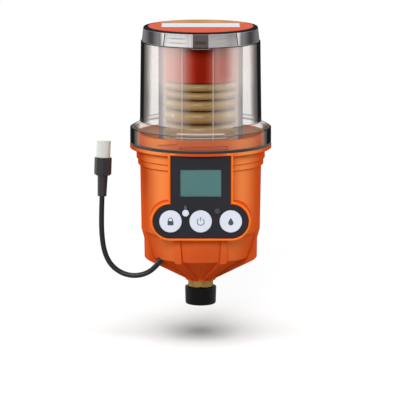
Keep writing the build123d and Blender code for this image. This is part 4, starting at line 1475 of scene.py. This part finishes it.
@dataclass
class CoverMarks:
    """The small ring and the long pointer moulded on the cover's skirt. Sizes in millimetres."""

    radius: float = 53.15
    ring: Point = (-15.2, 113.7)
    tip: float = -13.4
    shoulder: float = -10.5
    tail: float = 20.4
    low: float = 112.7
    high: float = 114.9
    stroke: float = 0.34
    ring_radius: float = 0.95
    ring_stroke: float = 0.42
    thickness: float = 0.06

    def build(self) -> None:
        """Make the marks."""
        surface = Surface(SurfaceKind.ROUND, self.radius)
        middle = (self.low + self.high) / 2
        strokes = arc_strips(self.ring, self.ring_radius, self.ring_stroke, 0, 360, 24)
        for start, stop, steps in (
            ((self.tip, middle), (self.shoulder, self.high), 3),
            ((self.tip, middle), (self.shoulder, self.low), 3),
            ((self.shoulder, self.high), (self.tail, self.high), 16),
            ((self.shoulder, self.low), (self.tail, self.low), 16),
            ((self.tail, self.low), (self.tail, self.high), 1),
        ):
            strokes += line_strips(start, stop, self.stroke, steps)
        material = Workshop.material(Palette.COVER_MARK)
        piece = raised("cover_pointer", strokes, material, surface, self.thickness)
        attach(piece, "top_cover")
        log.info("cover marks: %d strokes", len(strokes))


@dataclass
class SupplyCable:
    """The cable and what is on its end. Sizes in millimetres."""

    radius: float = 2.0
    length: float = 99.5
    route: tuple[tuple[float, float, float], ...] = (
        (-28.6, -21.9, 25.6),
        (-34.8, -22.2, 17.4),
        (-43.2, -22.1, 12.7),
        (-52.7, -21.7, 11.8),
        (-61.8, -20.9, 14.9),
        (-68.8, -20.0, 21.4),
        (-72.8, -19.0, 30.7),
        (-74.5, -17.6, 43.0),
        (-74.7, -16.2, 57.0),
        (-74.2, -15.0, 71.7),
    )

    def build(self, nodes: dict[str, bpy.types.Object]) -> None:
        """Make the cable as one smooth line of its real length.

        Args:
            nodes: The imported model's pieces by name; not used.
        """
        curve = bpy.data.curves.new("supply_cable", "CURVE")
        curve.dimensions = "3D"
        curve.bevel_depth = self.radius * MM
        curve.bevel_resolution = 6
        curve.use_fill_caps = True
        curve.resolution_u = 16
        line = curve.splines.new("NURBS")
        line.points.add(len(self.route) - 1)
        for point, place in zip(line.points, self.route):
            point.co = (*(c * MM for c in place), 1.0)
        line.order_u = 3
        line.use_endpoint_u = True
        cable = bpy.data.objects.new("supply_cable", curve)
        bpy.context.scene.collection.objects.link(cable)
        curve.materials.append(Workshop.material(Palette.CABLE))
        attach(cable, "housing")
        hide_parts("cable")
        log.info("cable: %.0f mm", self.length)


@dataclass(frozen=True)
class Lamp:
    """One soft lamp: where it hangs, its width and height in metres, and its power in watts."""

    name: str
    place: tuple[float, float, float]
    size: tuple[float, float]
    power: float


@dataclass
class Studio:
    """Floor, background, lamps and camera. Sizes in metres unless named otherwise."""

    floor: float = -0.0335
    camera_place: tuple[float, float, float] = (-0.0005, -2.4, 0.4892)
    tilt: float = 80.0
    lens: float = 289.7
    world_strength: float = 0.3
    floor_glow: float = 0.42
    floor_grey: float = 0.42
    spot_reach: float = 0.5
    spot_squeeze: float = 0.72
    spot_forward: float = -0.008
    # Painted shadow: the floor's colour and glow darken towards the middle under the lubricator, along this
    # curve of scaled distance.
    painted_shadow: tuple[tuple[float, float], ...] = (
        (0.0, 0.36),
        (0.012, 0.42),
        (0.03, 0.6),
        (0.06, 0.88),
        (0.1, 0.98),
        (0.14, 1.0),
    )
    away: tuple[tuple[float, float], ...] = ((0.3, 0.0), (0.9, 1.0))
    aim: tuple[float, float, float] = (0.0, 0.0, 0.09)
    lamps: tuple[Lamp, ...] = (
        Lamp("left_box", (-1.45, 0.3, 0.4), (0.7, 1.2), 17.0),
        Lamp("right_box", (1.45, 0.3, 0.4), (0.7, 1.2), 15.0),
        Lamp("front_box", (-0.3, -1.9, 1.0), (1.0, 0.7), 31.0),
        Lamp("top_box", (0.0, -0.1, 1.6), (0.8, 0.8), 20.0),
    )

    def seen(self, sheet: Sheet) -> bpy.types.NodeSocket:
        """Mask the rays that see the background straight, mirrored or through glass."""
        path = sheet.node("ShaderNodeLightPath")
        straight = sheet.maths("MAXIMUM", path.outputs["Is Camera Ray"], path.outputs["Is Glossy Ray"])
        return sheet.maths("MAXIMUM", straight, path.outputs["Is Transmission Ray"])

    def background(self) -> None:
        """Set the world: white to the eye, softer as light."""
        world = bpy.data.worlds.new("studio")
        world.use_nodes = True
        bpy.context.scene.world = world
        sheet = Sheet(world.node_tree)
        back = next(n for n in world.node_tree.nodes if n.type == "BACKGROUND")
        back.inputs["Color"].default_value = (1, 1, 1, 1)
        span = 1.0 - self.world_strength
        strength = sheet.maths("MULTIPLY_ADD", self.seen(sheet), span)
        strength.node.inputs[2].default_value = self.world_strength
        sheet.join(strength, back.inputs["Strength"])

    def ground(self) -> None:
        """Lay the floor, which keeps the lubricator's shadow and darkens further under it with a painted
        shadow.
        """
        bm = bmesh.new()
        bmesh.ops.create_circle(bm, cap_ends=True, segments=96, radius=6.0)
        material = bpy.data.materials.new("pale_floor")
        material.use_nodes = True
        sheet = Sheet(material.node_tree)
        for node in list(material.node_tree.nodes):
            if node.type == "BSDF_PRINCIPLED":
                material.node_tree.nodes.remove(node)
        out = next(n for n in material.node_tree.nodes if n.type == "OUTPUT_MATERIAL")
        across = sheet.node("ShaderNodeVectorMath", operation="MULTIPLY")
        across.inputs[1].default_value = (1 / self.spot_reach, self.spot_squeeze / self.spot_reach, 0.0)
        sheet.join(sheet.place(), across.inputs[0])
        apart = sheet.node("ShaderNodeVectorMath", operation="LENGTH")
        sheet.join(across.outputs[0], apart.inputs[0])
        away = sheet.ramp(apart.outputs["Value"], self.away)
        # Painted shadow: darkens the floor's colour and glow near the middle.
        painted_shadow = sheet.ramp(apart.outputs["Value"], self.painted_shadow)
        diffuse = sheet.node("ShaderNodeBsdfDiffuse")
        plain = sheet.mix(away, (self.floor_grey,) * 3, (0.02, 0.02, 0.02))
        sheet.join(sheet.mix(painted_shadow, (0.0, 0.0, 0.0), plain), diffuse.inputs["Color"])
        glow = sheet.node("ShaderNodeEmission")
        lift = sheet.maths("ADD", sheet.maths("MULTIPLY", away, 1.0 - self.floor_glow), self.floor_glow)
        lift = sheet.maths("MULTIPLY", lift, painted_shadow)
        sheet.join(sheet.maths("MULTIPLY", self.seen(sheet), lift), glow.inputs["Strength"])
        both = sheet.node("ShaderNodeAddShader")
        sheet.join(diffuse.outputs[0], both.inputs[0])
        sheet.join(glow.outputs[0], both.inputs[1])
        sheet.join(both.outputs[0], out.inputs["Surface"])
        floor = finish_mesh("studio_floor", bm, material, smooth=False)
        floor.location = (0.0, self.spot_forward, self.floor)

    def hang(self, lamp: Lamp) -> None:
        """Hang one soft lamp that points at the middle of the lubricator.

        Args:
            lamp: The lamp.
        """
        data = bpy.data.lights.new(lamp.name, "AREA")
        data.shape = "RECTANGLE"
        data.size, data.size_y = lamp.size
        data.energy = lamp.power
        made = bpy.data.objects.new(lamp.name, data)
        made.location = lamp.place
        aim = Vector(self.aim) - Vector(lamp.place)
        made.rotation_euler = aim.to_track_quat("-Z", "Y").to_euler()
        bpy.context.scene.collection.objects.link(made)

    def camera(self) -> None:
        """Set the camera."""
        data = bpy.data.cameras.new("view")
        data.lens = self.lens
        data.sensor_width = 36.0
        data.clip_end = 50.0
        made = bpy.data.objects.new("view", data)
        made.location = self.camera_place
        made.rotation_euler = (math.radians(self.tilt), 0, 0)
        bpy.context.scene.collection.objects.link(made)
        bpy.context.scene.camera = made

    def build(self) -> None:
        """Set up the whole studio."""
        self.background()
        self.ground()
        for lamp in self.lamps:
            self.hang(lamp)
        self.camera()
        log.info("studio ready")


def dress(nodes: dict[str, bpy.types.Object]) -> None:
    """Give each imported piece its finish.

    Args:
        nodes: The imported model's pieces by name.
    """
    for name, finish in NODE_FINISHES.items():
        for slot in nodes[name].material_slots:
            slot.material = Workshop.material(finish)
    log.info("dressed %d nodes", len(NODE_FINISHES))


def main() -> None:
    """Build the lubricator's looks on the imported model."""
    logging.basicConfig(level=logging.INFO, format="%(name)s: %(message)s")
    bpy.context.scene.view_settings.view_transform = "Standard"
    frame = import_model()
    Studio().build()
    dress(frame["nodes"])
    SupplyCable().build(frame["nodes"])
    GreaseSide().build()
    ClearCover().build(frame["nodes"])
    SleeveSeams().build()
    PanelBead().build()
    ControlPanel().build()
    CoverMarks().build()


if __name__ == "__main__":
    main()
